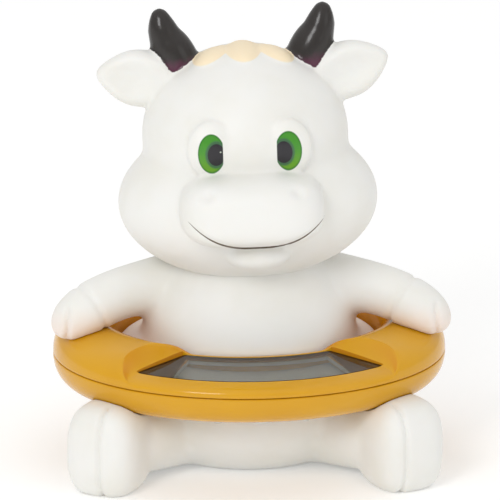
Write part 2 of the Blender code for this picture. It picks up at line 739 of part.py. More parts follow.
def build_board(frame, top_shell, board_top):
    """Build the board, its chips and the screws into the top shell."""
    board_bottom = board_top - BOARD_THICKNESS
    wide = BOARD_HALF_LENGTH
    outline = panel_outline(BOARD_OUTER_INSET, BOARD_INNER_INSET, wide, wide)
    bm = bmesh.new()
    add_prism(bm, outline, window_level(board_bottom), window_level(board_top))
    board = new_object("circuit_board", bm, GREEN_BOARD, parent=frame)
    chip_top = board_bottom - CLEARANCE
    bm = bmesh.new()
    add_prism(bm, circle(-0.4 * wide, WINDOW_MIDDLE, BLOB_RADIUS), window_level(chip_top - BLOB_HEIGHT),
              window_level(chip_top))
    new_object("controller_blob", bm, BLACK_EPOXY, smooth_angle=40, parent=frame)
    bm = bmesh.new()
    add_prism(bm, slot_outline(0.4 * wide, WINDOW_MIDDLE - 0.5 * CRYSTAL_LENGTH,
                               WINDOW_MIDDLE + 0.5 * CRYSTAL_LENGTH, CRYSTAL_RADIUS, 5),
              window_level(chip_top - 2.0 * CRYSTAL_RADIUS), window_level(chip_top))
    new_object("clock_crystal", bm, BRIGHT_METAL, smooth_angle=40, parent=frame)
    for side, label in ((-1.0, "left"), (1.0, "right")):
        x = side * BOARD_SCREW_X
        bm = bmesh.new()
        add_prism(bm, circle(x, BOARD_SCREW_Y, BOSS_RADIUS), window_level(board_top + CLEARANCE),
                  panel_level(-0.7 * PANEL_WALL))
        combine(top_shell, new_cutter("board_boss_" + label, bm, parent=frame), "UNION")
        bm = bmesh.new()
        hole = circle(x, BOARD_SCREW_Y, SCREW_SHANK + CLEARANCE, SCREW_SIDES)
        bite = board_top + CLEARANCE + BOARD_SCREW_BITE
        add_prism(bm, hole, window_level(board_bottom - BELLY_DEPTH), window_level(bite + CLEARANCE))
        bore = new_cutter("board_hole_" + label, bm, parent=frame)
        combine(top_shell, bore)
        combine(board, bore)
        bm = bmesh.new()
        head_top = board_bottom - CLEARANCE
        add_prism(bm, circle(x, BOARD_SCREW_Y, SCREW_HEAD_RADIUS, SCREW_SIDES),
                  window_level(head_top - SCREW_HEAD_HEIGHT), window_level(head_top))
        screw = new_object("board_screw_" + label, bm, BRIGHT_METAL, parent=frame)
        bm = bmesh.new()
        add_prism(bm, circle(x, BOARD_SCREW_Y, SCREW_SHANK, SCREW_SIDES),
                  window_level(head_top - 0.5 * SCREW_HEAD_HEIGHT), window_level(bite))
        combine(screw, new_cutter("board_shank_" + label, bm, parent=frame), "UNION")


# Screws that hold the shells together
def build_shell_screws(frame, top_shell, bottom_shell):
    """Build bosses in both shells and the screws that join them from below."""
    floor = SEAM_HEIGHT - BELLY_DEPTH
    gap = 0.5 * CLEARANCE
    seat = floor + 2.5 * RING_WALL
    for number, angle in enumerate(SHELL_SCREW_ANGLES, start=1):
        outer, inner = ring_edges(angle, 0.0)
        x, y = 0.5 * (outer + inner)
        roof = section_point(angle, 0.5 * math.pi, 0.0, 0.0).z - RING_WALL
        boss_bm = bmesh.new()
        add_prism(boss_bm, circle(x, y, BOSS_RADIUS, 16), SEAM_HEIGHT + gap, roof)
        combine(top_shell, new_cutter("top_boss_%d" % number, boss_bm, parent=frame), "UNION")
        boss_bm = bmesh.new()
        add_prism(boss_bm, circle(x, y, BOSS_RADIUS + RING_WALL * 0.3, 16), floor + RING_WALL, SEAM_HEIGHT - gap)
        combine(bottom_shell, new_cutter("bottom_boss_%d" % number, boss_bm, parent=frame), "UNION")
        top = SEAM_HEIGHT + SHELL_SCREW_BITE
        hole_bm = bmesh.new()
        add_prism(hole_bm, circle(x, y, SCREW_SHANK + CLEARANCE, SCREW_SIDES), floor - RING_WALL, top + CLEARANCE)
        hole = new_cutter("screw_hole_%d" % number, hole_bm, parent=frame)
        combine(top_shell, hole)
        combine(bottom_shell, hole)
        sink_bm = bmesh.new()
        add_prism(sink_bm, circle(x, y, SCREW_HEAD_RADIUS + CLEARANCE, 16), floor - RING_WALL, seat)
        combine(bottom_shell, new_cutter("screw_sink_%d" % number, sink_bm, parent=frame))
        head_top = seat - CLEARANCE
        name = "shell_screw_%d" % number
        screw = cylinder_solid(name, x, y, SCREW_HEAD_RADIUS, head_top - SCREW_HEAD_HEIGHT, head_top,
                               BRIGHT_METAL, frame, SCREW_SIDES)
        shank_bm = bmesh.new()
        add_prism(shank_bm, circle(x, y, SCREW_SHANK, SCREW_SIDES), head_top - 0.5 * SCREW_HEAD_HEIGHT, top)
        combine(screw, new_cutter("shell_shank_%d" % number, shank_bm, parent=frame), "UNION")


# Sensor and contacts in the belly
def build_sensor(frame, bottom_shell):
    """Build the sensor's metal cap, its thermistor and the two water contacts."""
    x, y = SENSOR_CENTRE
    floor = SEAM_HEIGHT - BELLY_DEPTH
    inside = floor + RING_WALL
    low = floor - SENSOR_WALL
    bm = bmesh.new()
    add_prism(bm, circle(x, y, SENSOR_RADIUS + CLEARANCE), floor - RING_WALL, inside + RING_WALL)
    combine(bottom_shell, new_cutter("sensor_hole", bm, parent=frame))
    bm = bmesh.new()
    add_prism(bm, circle(x, y, SENSOR_FLANGE + CLEARANCE), inside, inside + RING_WALL)
    combine(bottom_shell, new_cutter("sensor_seat", bm, parent=frame))
    cap_top = inside + CLEARANCE + SENSOR_WALL
    cap = cylinder_solid("sensor_cap", x, y, SENSOR_RADIUS, low, cap_top, BRIGHT_METAL, frame)
    bm = bmesh.new()
    add_prism(bm, circle(x, y, SENSOR_FLANGE), inside + CLEARANCE, cap_top)
    combine(cap, new_cutter("sensor_flange", bm, parent=frame), "UNION")
    bm = bmesh.new()
    add_prism(bm, circle(x, y, SENSOR_RADIUS - SENSOR_WALL), low + SENSOR_WALL, cap_top + SENSOR_WALL)
    combine(cap, new_cutter("sensor_bore", bm, parent=frame))
    bead_low = low + SENSOR_WALL + CLEARANCE
    cylinder_solid("thermistor", x, y, THERMISTOR_RADIUS, bead_low, bead_low + THERMISTOR_HEIGHT,
                   BLACK_EPOXY, frame, 12)
    for side, label in ((-1.0, "left"), (1.0, "right")):
        stud_x = x + side * STUD_SPACING
        bm = bmesh.new()
        add_prism(bm, circle(stud_x, y, STUD_RADIUS + CLEARANCE, 16), floor - RING_WALL, inside + RING_WALL)
        combine(bottom_shell, new_cutter("stud_hole_" + label, bm, parent=frame))
        bm = bmesh.new()
        add_prism(bm, circle(stud_x, y, STUD_HEAD + CLEARANCE, 16), inside, inside + RING_WALL)
        combine(bottom_shell, new_cutter("stud_seat_" + label, bm, parent=frame))
        stud = cylinder_solid("water_contact_" + label, x + side * STUD_SPACING, y, STUD_RADIUS, low,
                              cap_top, BRIGHT_METAL, frame, 16)
        bm = bmesh.new()
        add_prism(bm, circle(stud_x, y, STUD_HEAD, 16), inside + CLEARANCE, cap_top)
        combine(stud, new_cutter("stud_head_" + label, bm, parent=frame), "UNION")


# Battery compartment
def build_battery(frame, bottom_shell):
    """Build the well, cells, contacts, seal and screwed cover under the ring."""
    floor = SEAM_HEIGHT - BELLY_DEPTH
    first_y, last_y = CELL_FIRST_Y, CELL_FIRST_Y + CELL_PITCH
    cover_last_y = CELL_FIRST_Y + COVER_REACH
    cover_top = floor + COVER_INSIDE
    ledge = cover_top + 2.0 * CLEARANCE + BATTERY_SEAL_HEIGHT
    bridge_low = cover_top + CLEARANCE
    cell_low = bridge_low + CONTACT_THICKNESS + CLEARANCE
    cell_high = cell_low + CELL_HEIGHT
    contact_low = cell_high + CLEARANCE
    well_top = contact_low + CONTACT_THICKNESS + CLEARANCE
    well_radius = CELL_RADIUS + CLEARANCE

    def cut_shape(name, outline, low, high, operation="DIFFERENCE"):
        bm = bmesh.new()
        add_prism(bm, outline, low, high)
        combine(bottom_shell, new_cutter(name, bm, parent=frame), operation)

    block = slot_outline(CELL_X, first_y, cover_last_y, COVER_RADIUS + CLEARANCE + 0.2 * RING_WALL)
    cut_shape("battery_block", block, floor + RING_WALL, well_top + BATTERY_ROOF, "UNION")
    cover_hole = slot_outline(CELL_X, first_y, cover_last_y, COVER_RADIUS + CLEARANCE)
    cut_shape("battery_mouth", cover_hole, floor - RING_WALL, ledge)
    cut_shape("battery_well", slot_outline(CELL_X, first_y, last_y, well_radius), floor, well_top)
    bm = bmesh.new()
    add_prism(bm, slot_outline(CELL_X, first_y, cover_last_y, COVER_RADIUS), floor - RING_WALL, cover_top)
    cover = new_object("battery_cover", bm, YELLOW_SHELL, smooth_angle=35, parent=frame)
    combine(cover, ring_envelope("cover_form", 0.0, frame), "INTERSECT")
    screw_y = cover_last_y + COVER_SCREW_SETBACK - SCREW_HEAD_RADIUS
    seat = cover_top - 0.5 * COVER_INSIDE
    top = ledge + SHELL_SCREW_BITE * 0.6
    bm = bmesh.new()
    add_prism(bm, circle(CELL_X, screw_y, SCREW_SHANK + CLEARANCE, SCREW_SIDES), floor - RING_WALL, top + CLEARANCE)
    hole = new_cutter("cover_screw_hole", bm, parent=frame)
    combine(bottom_shell, hole)
    combine(cover, hole)
    bm = bmesh.new()
    add_prism(bm, circle(CELL_X, screw_y, SCREW_HEAD_RADIUS + CLEARANCE, 16), floor - RING_WALL, seat)
    combine(cover, new_cutter("cover_screw_sink", bm, parent=frame))
    head_top = seat - CLEARANCE
    screw = cylinder_solid("battery_cover_screw", CELL_X, screw_y, SCREW_HEAD_RADIUS,
                           head_top - 0.6 * SCREW_HEAD_HEIGHT, head_top, BRIGHT_METAL, frame, SCREW_SIDES)
    bm = bmesh.new()
    add_prism(bm, circle(CELL_X, screw_y, SCREW_SHANK, SCREW_SIDES), head_top - 0.3 * SCREW_HEAD_HEIGHT, top)
    combine(screw, new_cutter("cover_screw_shank", bm, parent=frame), "UNION")
    seal_low = cover_top + CLEARANCE
    seal_radius = well_radius + BATTERY_SEAL_WIDTH
    bm = bmesh.new()
    add_prism(bm, slot_outline(CELL_X, first_y, last_y, seal_radius), seal_low, seal_low + BATTERY_SEAL_HEIGHT)
    seal = new_object("battery_seal", bm, BLACK_RUBBER, smooth_angle=35, parent=frame)
    bm = bmesh.new()
    add_prism(bm, slot_outline(CELL_X, first_y, last_y, seal_radius - BATTERY_SEAL_WIDTH),
              seal_low - BATTERY_SEAL_HEIGHT, seal_low + 2.0 * BATTERY_SEAL_HEIGHT)
    combine(seal, new_cutter("battery_seal_inside", bm, parent=frame))
    bm = bmesh.new()
    bridge = slot_outline(CELL_X, first_y, last_y, 0.5 * CELL_RADIUS)
    add_prism(bm, bridge, bridge_low, bridge_low + CONTACT_THICKNESS)
    new_object("battery_bridge", bm, BRIGHT_METAL, parent=frame)
    places = (("front", first_y, "plus"), ("rear", last_y, "minus"))
    for cell_label, y, pole in places:
        cylinder_solid("button_cell_" + cell_label, CELL_X, y, CELL_RADIUS, cell_low, cell_high,
                       BRIGHT_METAL, frame, 24)
        cylinder_solid("battery_contact_" + pole, CELL_X, y, 0.5 * CELL_RADIUS, contact_low,
                       contact_low + CONTACT_THICKNESS, BRIGHT_METAL, frame, 16)


def main():
    head_seat = new_frame("head_seat", NECK_PIVOT, (0.0, -HEAD_ROLL, 0.0))
    ring_frame = new_frame("ring_frame", turn=(0.0, 0.0, RING_YAW))
    top_shell, bottom_shell = build_shells(ring_frame)
    build_display(ring_frame, top_shell)
    build_seals(ring_frame, bottom_shell)
    build_shell_screws(ring_frame, top_shell, bottom_shell)
    build_sensor(ring_frame, bottom_shell)
    build_battery(ring_frame, bottom_shell)
    build_head(head_seat)
    build_body(head_seat, ring_frame)


main()
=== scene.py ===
import json
import math

import bmesh
import bpy
import numpy as np
from mathutils import Euler, Matrix, Vector


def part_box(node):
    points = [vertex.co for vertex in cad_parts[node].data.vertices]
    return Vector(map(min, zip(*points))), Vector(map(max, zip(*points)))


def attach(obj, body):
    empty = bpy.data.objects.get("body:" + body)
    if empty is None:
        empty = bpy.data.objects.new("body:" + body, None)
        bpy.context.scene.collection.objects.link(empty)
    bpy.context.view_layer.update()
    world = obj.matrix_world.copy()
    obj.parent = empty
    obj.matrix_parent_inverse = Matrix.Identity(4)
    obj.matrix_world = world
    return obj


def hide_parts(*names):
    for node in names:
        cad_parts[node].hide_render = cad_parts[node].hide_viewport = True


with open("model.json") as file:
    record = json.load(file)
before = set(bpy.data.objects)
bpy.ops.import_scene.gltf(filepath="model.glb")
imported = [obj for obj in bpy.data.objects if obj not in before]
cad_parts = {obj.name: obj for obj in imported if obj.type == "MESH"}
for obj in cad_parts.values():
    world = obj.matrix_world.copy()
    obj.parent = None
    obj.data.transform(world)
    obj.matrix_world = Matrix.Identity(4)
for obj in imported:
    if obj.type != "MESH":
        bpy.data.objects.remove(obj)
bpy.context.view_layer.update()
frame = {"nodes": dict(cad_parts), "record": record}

BODY = "root"

# Fineness of the sculpted vinyl
HEAD_VOXEL = 0.00055
BODY_VOXEL = 0.00065
CORE_COARSENESS = 1.1
CORE_SMOOTHING = 45
TRIM_SMOOTHING = 8
LIMB_STEPS = 10
HORN_STEPS = 8

# Head, modelled upright; head_turn rolls it about its neck
HEAD_ROLL = math.radians(1.7)
NECK_PIVOT = Vector((0.0, 0.001, 0.052))
CRANIUM_CENTRE = Vector((0.0, 0.001, 0.085))
CRANIUM_RADII = Vector((0.0262, 0.0258, 0.0228))
CHEEK_CENTRE = Vector((0.0, -0.003, 0.069))
CHEEK_RADII = Vector((0.033, 0.025, 0.02))
MUZZLE_CENTRE = Vector((0.0, -0.024, 0.0728))
MUZZLE_RADII = Vector((0.0182, 0.0134, 0.0091))
MUZZLE_POWER = 3.0
LIP_CENTRE = Vector((0.0012, -0.0236, 0.0603))
LIP_RADII = Vector((0.0082, 0.0052, 0.004))
EYE_SPACING = 0.0095
EYE_HEIGHT = 0.0874
EYE_FIELD = Vector((0.0064, 0.0032, 0.0076))
EYE_FIELD_SINK = 0.6

# Ears: leaf-shaped, hollowed in front
EAR_RADII = Vector((0.0112, 0.0048, 0.0074))
EAR_POWER = 2.2
EAR_OFFSET = Vector((0.0262, 0.001, 0.0153))
EAR_LIFT_LEFT = math.radians(19.0)
EAR_LIFT_RIGHT = math.radians(9.0)
EAR_TAPER = 0.5
EAR_DISH = 0.003
EAR_DISH_CENTRE = (0.15, 0.06)
EAR_DISH_REACH = (0.8, 0.74)
EAR_DISH_POWER = 1.3

# Horns: curved cones that stand on the cranium
HORN_SPREAD = 0.017
HORN_SETBACK = 0.003
HORN_HEIGHT = 0.0157
HORN_BASE_RADIUS = 0.0056
HORN_TIP_RADIUS = 0.0024
HORN_LEAN = 0.0036
HORN_RISE_SHARES = (-0.1, 0.14, 0.37, 0.56, 0.79, 1.0)
HORN_LEAN_SHARES = (-0.5, -0.14, 0.22, 0.58, 0.86, 1.0)
HORN_RADIUS_SHARES = (0.95, 1.0, 0.875, 0.62, 0.37, 0.0)

# Paint on the horns: how far it goes past them, its edge, and the worn root
HORN_PAINT = 0.0003
HORN_EDGE = 0.0001
HORN_RAGGED = 0.0005
HORN_ROOT_LOW = 0.105
HORN_ROOT_HIGH = 0.1085
HORN_WEAR = 0.004

# Hair: three low petals between the horns
HAIR_RELIEF = 0.0007
HAIR_REACH = 0.0088
HAIR_FORWARD = 0.1
HAIR_SPACING = 0.0078
HAIR_EDGE = 0.00014
PETAL_RADIUS = 0.0046
PETAL_DEPTH = 0.0025
PETAL_SUNK = 0.9
PETAL_SHORTENING = 0.7
PETAL_SPLAY = 1.2
PETAL_PAINT_DEPTH = 2.0

# Paint on the face: irises, pupils and a painted highlight (catchlight) on one eye, and where their
# soft edges begin and end
FACE_LIMIT = (-0.012, -0.014)
EYE_EDGE = 0.0001
IRIS_HEIGHT = 0.0871
IRIS_SHIFT = 0.0002
IRIS_RADII = (0.0034, 0.00515)
IRIS_INNER_EDGE = 0.0068
IRIS_EDGE = (1.03, 0.97)
IRIS_RIM = (0.84, 1.0)
IRIS_SHADE_TOP = 0.3
IRIS_SHADE_SHARE = 0.75
IRIS_STREAK_SHARE = 0.25
PUPIL_RADII = (0.0022, 0.0029)
PUPIL_SHIFT = (0.001, -0.0002)
PUPIL_EDGE = (1.04, 0.96)
PUPIL_BAND = (1.38, 1.12)
# Painted highlight: the catchlight's place, size and edge, on one eye only
CATCHLIGHT = (-0.0074, 0.0876)
CATCHLIGHT_RADIUS = 0.00022
CATCHLIGHT_EDGE = (1.2, 0.8)

# Mouth: a curve as seen from the camera's height, painted in a shallow groove
MOUTH_CENTRE = 0.0009
MOUTH_HALF_WIDTH = 0.0177
MOUTH_LOW = 0.0523
MOUTH_RISE = 0.0078
MOUTH_POWER = 2.9
MOUTH_LAST_SHARE = 1.3
MOUTH_LINE = 0.00021
MOUTH_EDGE = 0.00007
MOUTH_ENDS = (1.0, 0.96)
MOUTH_TAPER_POWER = 8.0
MOUTH_LEAST = 0.7
MOUTH_WOBBLE = 0.6
MOUTH_GROOVE = 0.0003
MOUTH_GROOVE_WIDTH = 0.00065
MOUTH_GROOVE_ENDS = (0.85, 1.02)
MOUTH_GROOVE_BACK = (-0.016, -0.012)

# Nostrils
NOSTRIL = Vector((0.0116, -0.034, 0.0794))
NOSTRIL_RADIUS = 0.0017
NOSTRIL_DEPTH = 0.001

# Rim round each raised eye field, which fades towards the nose
RIM_SHARE = 1.06
RIM_WIDTH = 0.075
RIM_DEPTH = 0.00013
RIM_SLANT = 0.6
RIM_FADE = (-0.3, 0.2)

# Hooves: the split in front of each foot and hand, and the border on each hand
SPLIT_WIDTH = 0.0006
SPLIT_DEPTH = 0.0008
FOOT_SPLIT_LEFT = 0.004
FOOT_SPLIT_RIGHT = 0.0016
FOOT_SPLIT_FADE = 0.004
FOOT_SPLIT_REACH = 0.02
HAND_TIP = Vector((0.0472, -0.0105, 0.0385))
HAND_FOOT = (0.034, 0.036)
CUFF_REACH_LEFT = 0.0122
CUFF_REACH_RIGHT = 0.0102
CUFF_SHARE = 0.6
HAND_SPLIT = 0.0468
HAND_SPLIT_TOP = (0.0425, 0.0445)
HAND_SPLIT_BACK = (-0.011, -0.008)

# Trunk
TORSO_CENTRE = Vector((0.0, 0.0, 0.031))
TORSO_RADII = Vector((0.0275, 0.0232, 0.03))
WAIST_RISE = 0.0085
RUMP_CENTRE = Vector((0.0, 0.004, 0.015))
RUMP_RADII = Vector((0.033, 0.029, 0.019))
SEAT_OVERLAP = 0.0003
FLOOR_CUT = (0.3, 0.3, 0.1)

# Legs and hooves
HIP = Vector((0.015, -0.002, 0.0125))
ANKLE = Vector((0.032, -0.02, 0.0112))
HIP_RADIUS = 0.0135
ANKLE_RADIUS = 0.01
HOOF_CENTRE = Vector((0.0368, -0.027, 0.0108))
HOOF_RADII = Vector((0.0095, 0.0102, 0.0122))
HOOF_TURN = math.radians(28.0)
HOOF_POWER = 3.3

# Arms, from the shoulder to the hoof on the ring
ARM_POINTS = ((0.017, 0.001, 0.044), (0.027, -0.002, 0.0452), (0.035, -0.005, 0.044),
              (0.041, -0.0075, 0.0417), (0.0448, -0.0092, 0.0398), (0.0468, -0.01, 0.0386))
ARM_RADII = (0.01, 0.0072, 0.0067, 0.0067, 0.0058, 0.0044)

# Ring outline seen from above: an outer and an inner ellipse
CLEARANCE = 0.0003
RING_YAW = math.radians(2.5)
RING_WALL = 0.0018
PANEL_WALL = 0.0026
RING_HALF_WIDTH = 0.05
RING_HALF_DEPTH = 0.043
HOLE_HALF_WIDTH = 0.034
HOLE_HALF_DEPTH = 0.0275
HOLE_SHIFT = 0.0045

# Ring section: parting line, heights above it and depth below it, and how boxy they are
SEAM_HEIGHT = 0.028
SEAM_GAP = 0.00016
SEAM_ROUND = 0.0004
SEAM_BEVEL = 0.3
BELLY_DEPTH = 0.0085
SIDE_RISE_INNER = 0.0098
SIDE_RISE_OUTER = 0.0072
PANEL_RISE_INNER = 0.006
PANEL_RISE_OUTER = 0.0027
SIDE_POWER = 2.6
PANEL_LIP_POWER = 4.0
PANEL_RIM_POWER = 8.0
BELLY_POWER = 2.2

# Scoops between the panel and the raised sides, as angles from the ring's front
SCOOP_START = math.radians(36.0)
SCOOP_END = math.radians(44.0)
SCOOP_FOOT_INNER = math.radians(26.0)
SCOOP_FOOT_OUTER = math.radians(45.0)
SCOOP_RIDGE_INNER = math.radians(33.0)
SCOOP_RIDGE_OUTER = math.radians(47.5)
SCOOP_ARCH = 2.5
SCOOP_ROUND = 0.88

# Fineness of the ring
PANEL_STEP = math.radians(1.5)
SCOOP_STEP = math.radians(0.5)
SIDE_STEP = math.radians(2.0)
TOP_STEPS = 56
BELLY_STEPS = 40
INSIDE_STEPS = 10
ENVELOPE_FINENESS = 0.5
ENVELOPE_TOP_STEPS = 22
ENVELOPE_BELLY_STEPS = 14
OUTLINE_STEPS = 60
HALVINGS = 30
ARC_STEPS = 24
HOLE_STEPS = 32

# Edges sharper than this stay crisp
WINDOW_CREASE = math.radians(35)
RING_CREASE = math.radians(40)
BODY_CREASE = math.radians(50)

# Window and its recess, and the dark print on its ends and its far border
WINDOW_THICKNESS = 0.001
WINDOW_SINK = 0.0001
WINDOW_OUTER_INSET = 0.0046
WINDOW_INNER_INSET = 0.0024
WINDOW_TIP = 0.031
WINDOW_CORNER = 0.0185
WINDOW_END_SLANT = 0.44
WINDOW_END_MARGIN = 0.0027
WINDOW_END_EDGE = 0.0001
WINDOW_BORDER = 0.0018
WINDOW_BORDER_EDGE = (1.002, 0.998)
APERTURE_MARGIN = 0.001
APERTURE_INNER = 0.0175
APERTURE_OUTER = 0.023

# Openings under the ring, for the pieces that the frame holds there
SENSOR_RADIUS = 0.0026
STUD_RADIUS = 0.0011
SCREW_HEAD_RADIUS = 0.0019
COVER_RADIUS = 0.005
COVER_X = -0.0413
COVER_FIRST_Y = -0.0059
COVER_REACH = 0.0154
COVER_DEPTH = 0.0036
HOLE_DEPTH = 0.0035

# Vinyl and the paint on it
VINYL_COLOR = (0.82, 0.815, 0.785)
VINYL_SHADE = (0.79, 0.78, 0.73)
VINYL_ROUGHNESS = 0.5
VINYL_GRAIN = (0.00002, 0.35)
MOTTLE_RANGE = (0.35, 0.75)
PAINT_SMOOTHER = 0.3
HORN_COLOR = (0.024, 0.02, 0.018)
HORN_ROOT_COLOR = (0.085, 0.02, 0.045)
HAIR_COLOR = (0.9, 0.76, 0.54)
IRIS_COLOR = (0.045, 0.27, 0.022)
IRIS_LOW_COLOR = (0.15, 0.36, 0.014)
IRIS_RIM_COLOR = (0.025, 0.17, 0.015)
PUPIL_BAND_COLOR = (0.05, 0.14, 0.06)
PUPIL_COLOR = (0.02, 0.018, 0.022)
CATCHLIGHT_COLOR = (0.45, 0.5, 0.42)
MOUTH_COLOR = (0.1, 0.07, 0.045)

# Painted reflected light: a warm glow from the yellow ring painted on the vinyl in the armpits, its
# strength and where it fades
PAINTED_BOUNCE_COLOR = (0.86, 0.62, 0.5)
PAINTED_BOUNCE_SHARE = 0.42
PAINTED_BOUNCE_BESIDE = (0.019, 0.029)
PAINTED_BOUNCE_TOP = (0.045, 0.036)
PAINTED_BOUNCE_FOOT = (0.026, 0.031)

# Yellow plastic, with painted shade: a darker orange where it faces the ring's middle
SHELL_COLOR = (0.66, 0.335, 0.006)
SHELL_SHADE = (0.63, 0.31, 0.005)
SHELL_PAINTED_SHADE_COLOR = (0.6, 0.235, 0.006)
SHELL_PAINTED_SHADE_FACING = (-0.1, -0.55)
SHELL_NOISE_RANGE = (0.3, 0.8)
SHELL_SMOOTHEST = 0.13
SHELL_SMEAR = 0.07
SHELL_WAVES = (0.00006, 0.25)

# Window, panel and plain finishes
WINDOW_COLOR = (0.8, 0.79, 0.74)
WINDOW_END_COLOR = (0.24, 0.17, 0.075)
LCD_COLOR = (0.42, 0.44, 0.45)
LCD_SPECKLE_COLOR = (0.48, 0.5, 0.51)
PLAIN_FINISHES = {
    "bright_metal": ("dull_metal", (0.62, 0.61, 0.58), 0.3, 1.0),
    "black_rubber": ("soft_rubber", (0.03, 0.03, 0.03), 0.8),
    "green_board": ("board_green", (0.03, 0.2, 0.08), 0.5),
    "black_epoxy": ("chip_epoxy", (0.015, 0.015, 0.015), 0.35),
}
PLAIN_SHADE = 0.85
PLAIN_SPREAD = 0.1

# Noise in the finishes: scale and detail
MOTTLE_NOISE = (70.0, 3.0)
GRAIN_NOISE = (2600.0, 2.0)
HORN_EDGE_NOISE = (800.0, 2.0)
HORN_WEAR_NOISE = (300.0, 2.0)
IRIS_NOISE = (700.0, 3.0)
MOUTH_NOISE = (500.0, 1.0)
TINT_NOISE = (60.0, 2.0)
SMEAR_NOISE = (240.0, 3.0)
WAVE_NOISE = (160.0, 1.0)
LCD_NOISE = (1800.0, 2.0)
PLAIN_NOISE = (400.0, 2.0)
FLOOR_NOISE = (3.0, 1.0)

# Camera: where it looks, from which side, and how much it takes in
CAMERA_TARGET = Vector((0.0002, 0.0, 0.0542))
CAMERA_AZIMUTH = math.radians(-3.0)
CAMERA_ELEVATION = math.radians(17.0)
CAMERA_DISTANCE = 3.0
FRAME_WIDTH = 0.127
SENSOR_WIDTH = 36.0

# Stage: sky from horizon to zenith, floor, and each light's place, size and power
SKY_RAMP = (0.0, 1.0, 0.62, 0.98)
FLOOR_REACH = 3.0
FLOOR_COLOR = (0.93, 0.93, 0.925)
FLOOR_SHADE = (0.92, 0.92, 0.915)
FLOOR_GLOW = 0.16
LIGHT_TARGET = Vector((0.0, 0.0, 0.06))
LIGHTS = {
    "key": ((-0.3, -0.62, 0.5), (0.25, 0.25), 1.5),
    "fill": ((0.55, -0.5, 0.3), (0.4, 0.3), 0.2),
}


# Object and mesh helpers
def link(name, data):
    """Make an object of a mesh, a light or a camera."""
    thing = bpy.data.objects.new(name, data)
    bpy.context.scene.collection.objects.link(thing)
    return thing


def mesh_object(name, bm, smooth=True):
    """Turn a bmesh into an object, with smooth shading."""
    bmesh.ops.recalc_face_normals(bm, faces=bm.faces)
    mesh = bpy.data.meshes.new(name)
    bm.to_mesh(mesh)
    bm.free()
    if smooth:
        mesh.shade_smooth()
    return link(name, mesh)


def evaluated_mesh(thing):
    """Return a copy of an object's mesh with its modifiers applied."""
    graph = bpy.context.evaluated_depsgraph_get()
    return bpy.data.meshes.new_from_object(thing.evaluated_get(graph))


def remove(*things):
    """Delete helper objects."""
    for thing in things:
        bpy.data.objects.remove(thing, do_unlink=True)


def mirrored(point, side):
    """Return a point on the given side, +1 or -1, of the middle plane."""
    return Vector((point[0] * side, point[1], point[2]))


def add_blob(bm, centre, radii, turn=(0.0, 0.0, 0.0), power=2.0, grow=0.0):
    """Add an ellipsoid, or a boxier one for a power above 2."""
    made = bmesh.ops.create_uvsphere(bm, u_segments=96, v_segments=64, radius=1.0)
    place = Matrix.Translation(centre) @ Euler(turn).to_matrix().to_4x4()
    for vert in made["verts"]:
        total = sum(abs(value) ** power for value in vert.co)
        shape = vert.co * total ** (-1.0 / power)
        vert.co = place @ Vector([shape[i] * (radii[i] + grow) for i in range(3)])


def curve_value(knots, where):
    """Read a smooth Catmull-Rom curve through rows of values."""
    last = len(knots) - 1
    index = min(int(where), last - 1)
    t = where - index
    before, start = knots[max(index - 1, 0)], knots[index]
    end, after = knots[index + 1], knots[min(index + 2, last)]
    result = []
    for p0, p1, p2, p3 in zip(before, start, end, after):
        slope = 0.5 * (p2 - p0)
        bend = p0 - 2.5 * p1 + 2.0 * p2 - 0.5 * p3
        twist = 1.5 * (p1 - p2) + 0.5 * (p3 - p0)
        result.append(p1 + t * (slope + t * (bend + t * twist)))
    return result


def add_limb(bm, points, radii):
    """Add a limb as close-set balls along a smooth curve."""
    knots = [(*point, radius) for point, radius in zip(points, radii)]
    count = (len(knots) - 1) * LIMB_STEPS
    for number in range(count + 1):
        x, y, z, radius = curve_value(knots, number / LIMB_STEPS)
        made = bmesh.ops.create_icosphere(bm, subdivisions=3, radius=radius)
        bmesh.ops.translate(bm, verts=made["verts"], vec=(x, y, z))


def melt(thing, voxel, smoothing):
    """Melt overlapping blobs into one smooth closed skin."""
    step = thing.modifiers.new("melt", "REMESH")
    step.mode = "VOXEL"
    step.voxel_size = voxel
    ease = thing.modifiers.new("ease", "SMOOTH")
    ease.factor = 0.5
    ease.iterations = smoothing
    thing.data = evaluated_mesh(thing)
    thing.modifiers.clear()
    thing.data.shade_smooth()


def cut(thing, tool):
    """Cut an object by another, which is then deleted."""
    step = thing.modifiers.new("cut", "BOOLEAN")
    step.operation = "DIFFERENCE"
    step.solver = "EXACT"
    step.object = tool
    thing.data = evaluated_mesh(thing)
    thing.modifiers.clear()
    remove(tool)


def vector_rows(items, field):
    """Return one vector of each item as a row of an array."""
    values = np.empty(len(items) * 3)
    items.foreach_get(field, values)
    return values.reshape(-1, 3)


def vertex_places(mesh):
    """Return the vertex places as an array."""
    return vector_rows(mesh.vertices, "co")


def store(mesh, name, values):
    """Keep one number or one vector for each vertex, for the shader."""
    kind = "FLOAT" if values.ndim == 1 else "FLOAT_VECTOR"
    attribute = mesh.attributes.new(name, kind, "POINT")
    field = "value" if values.ndim == 1 else "vector"
    attribute.data.foreach_set(field, np.ascontiguousarray(values, dtype=np.float32).ravel())


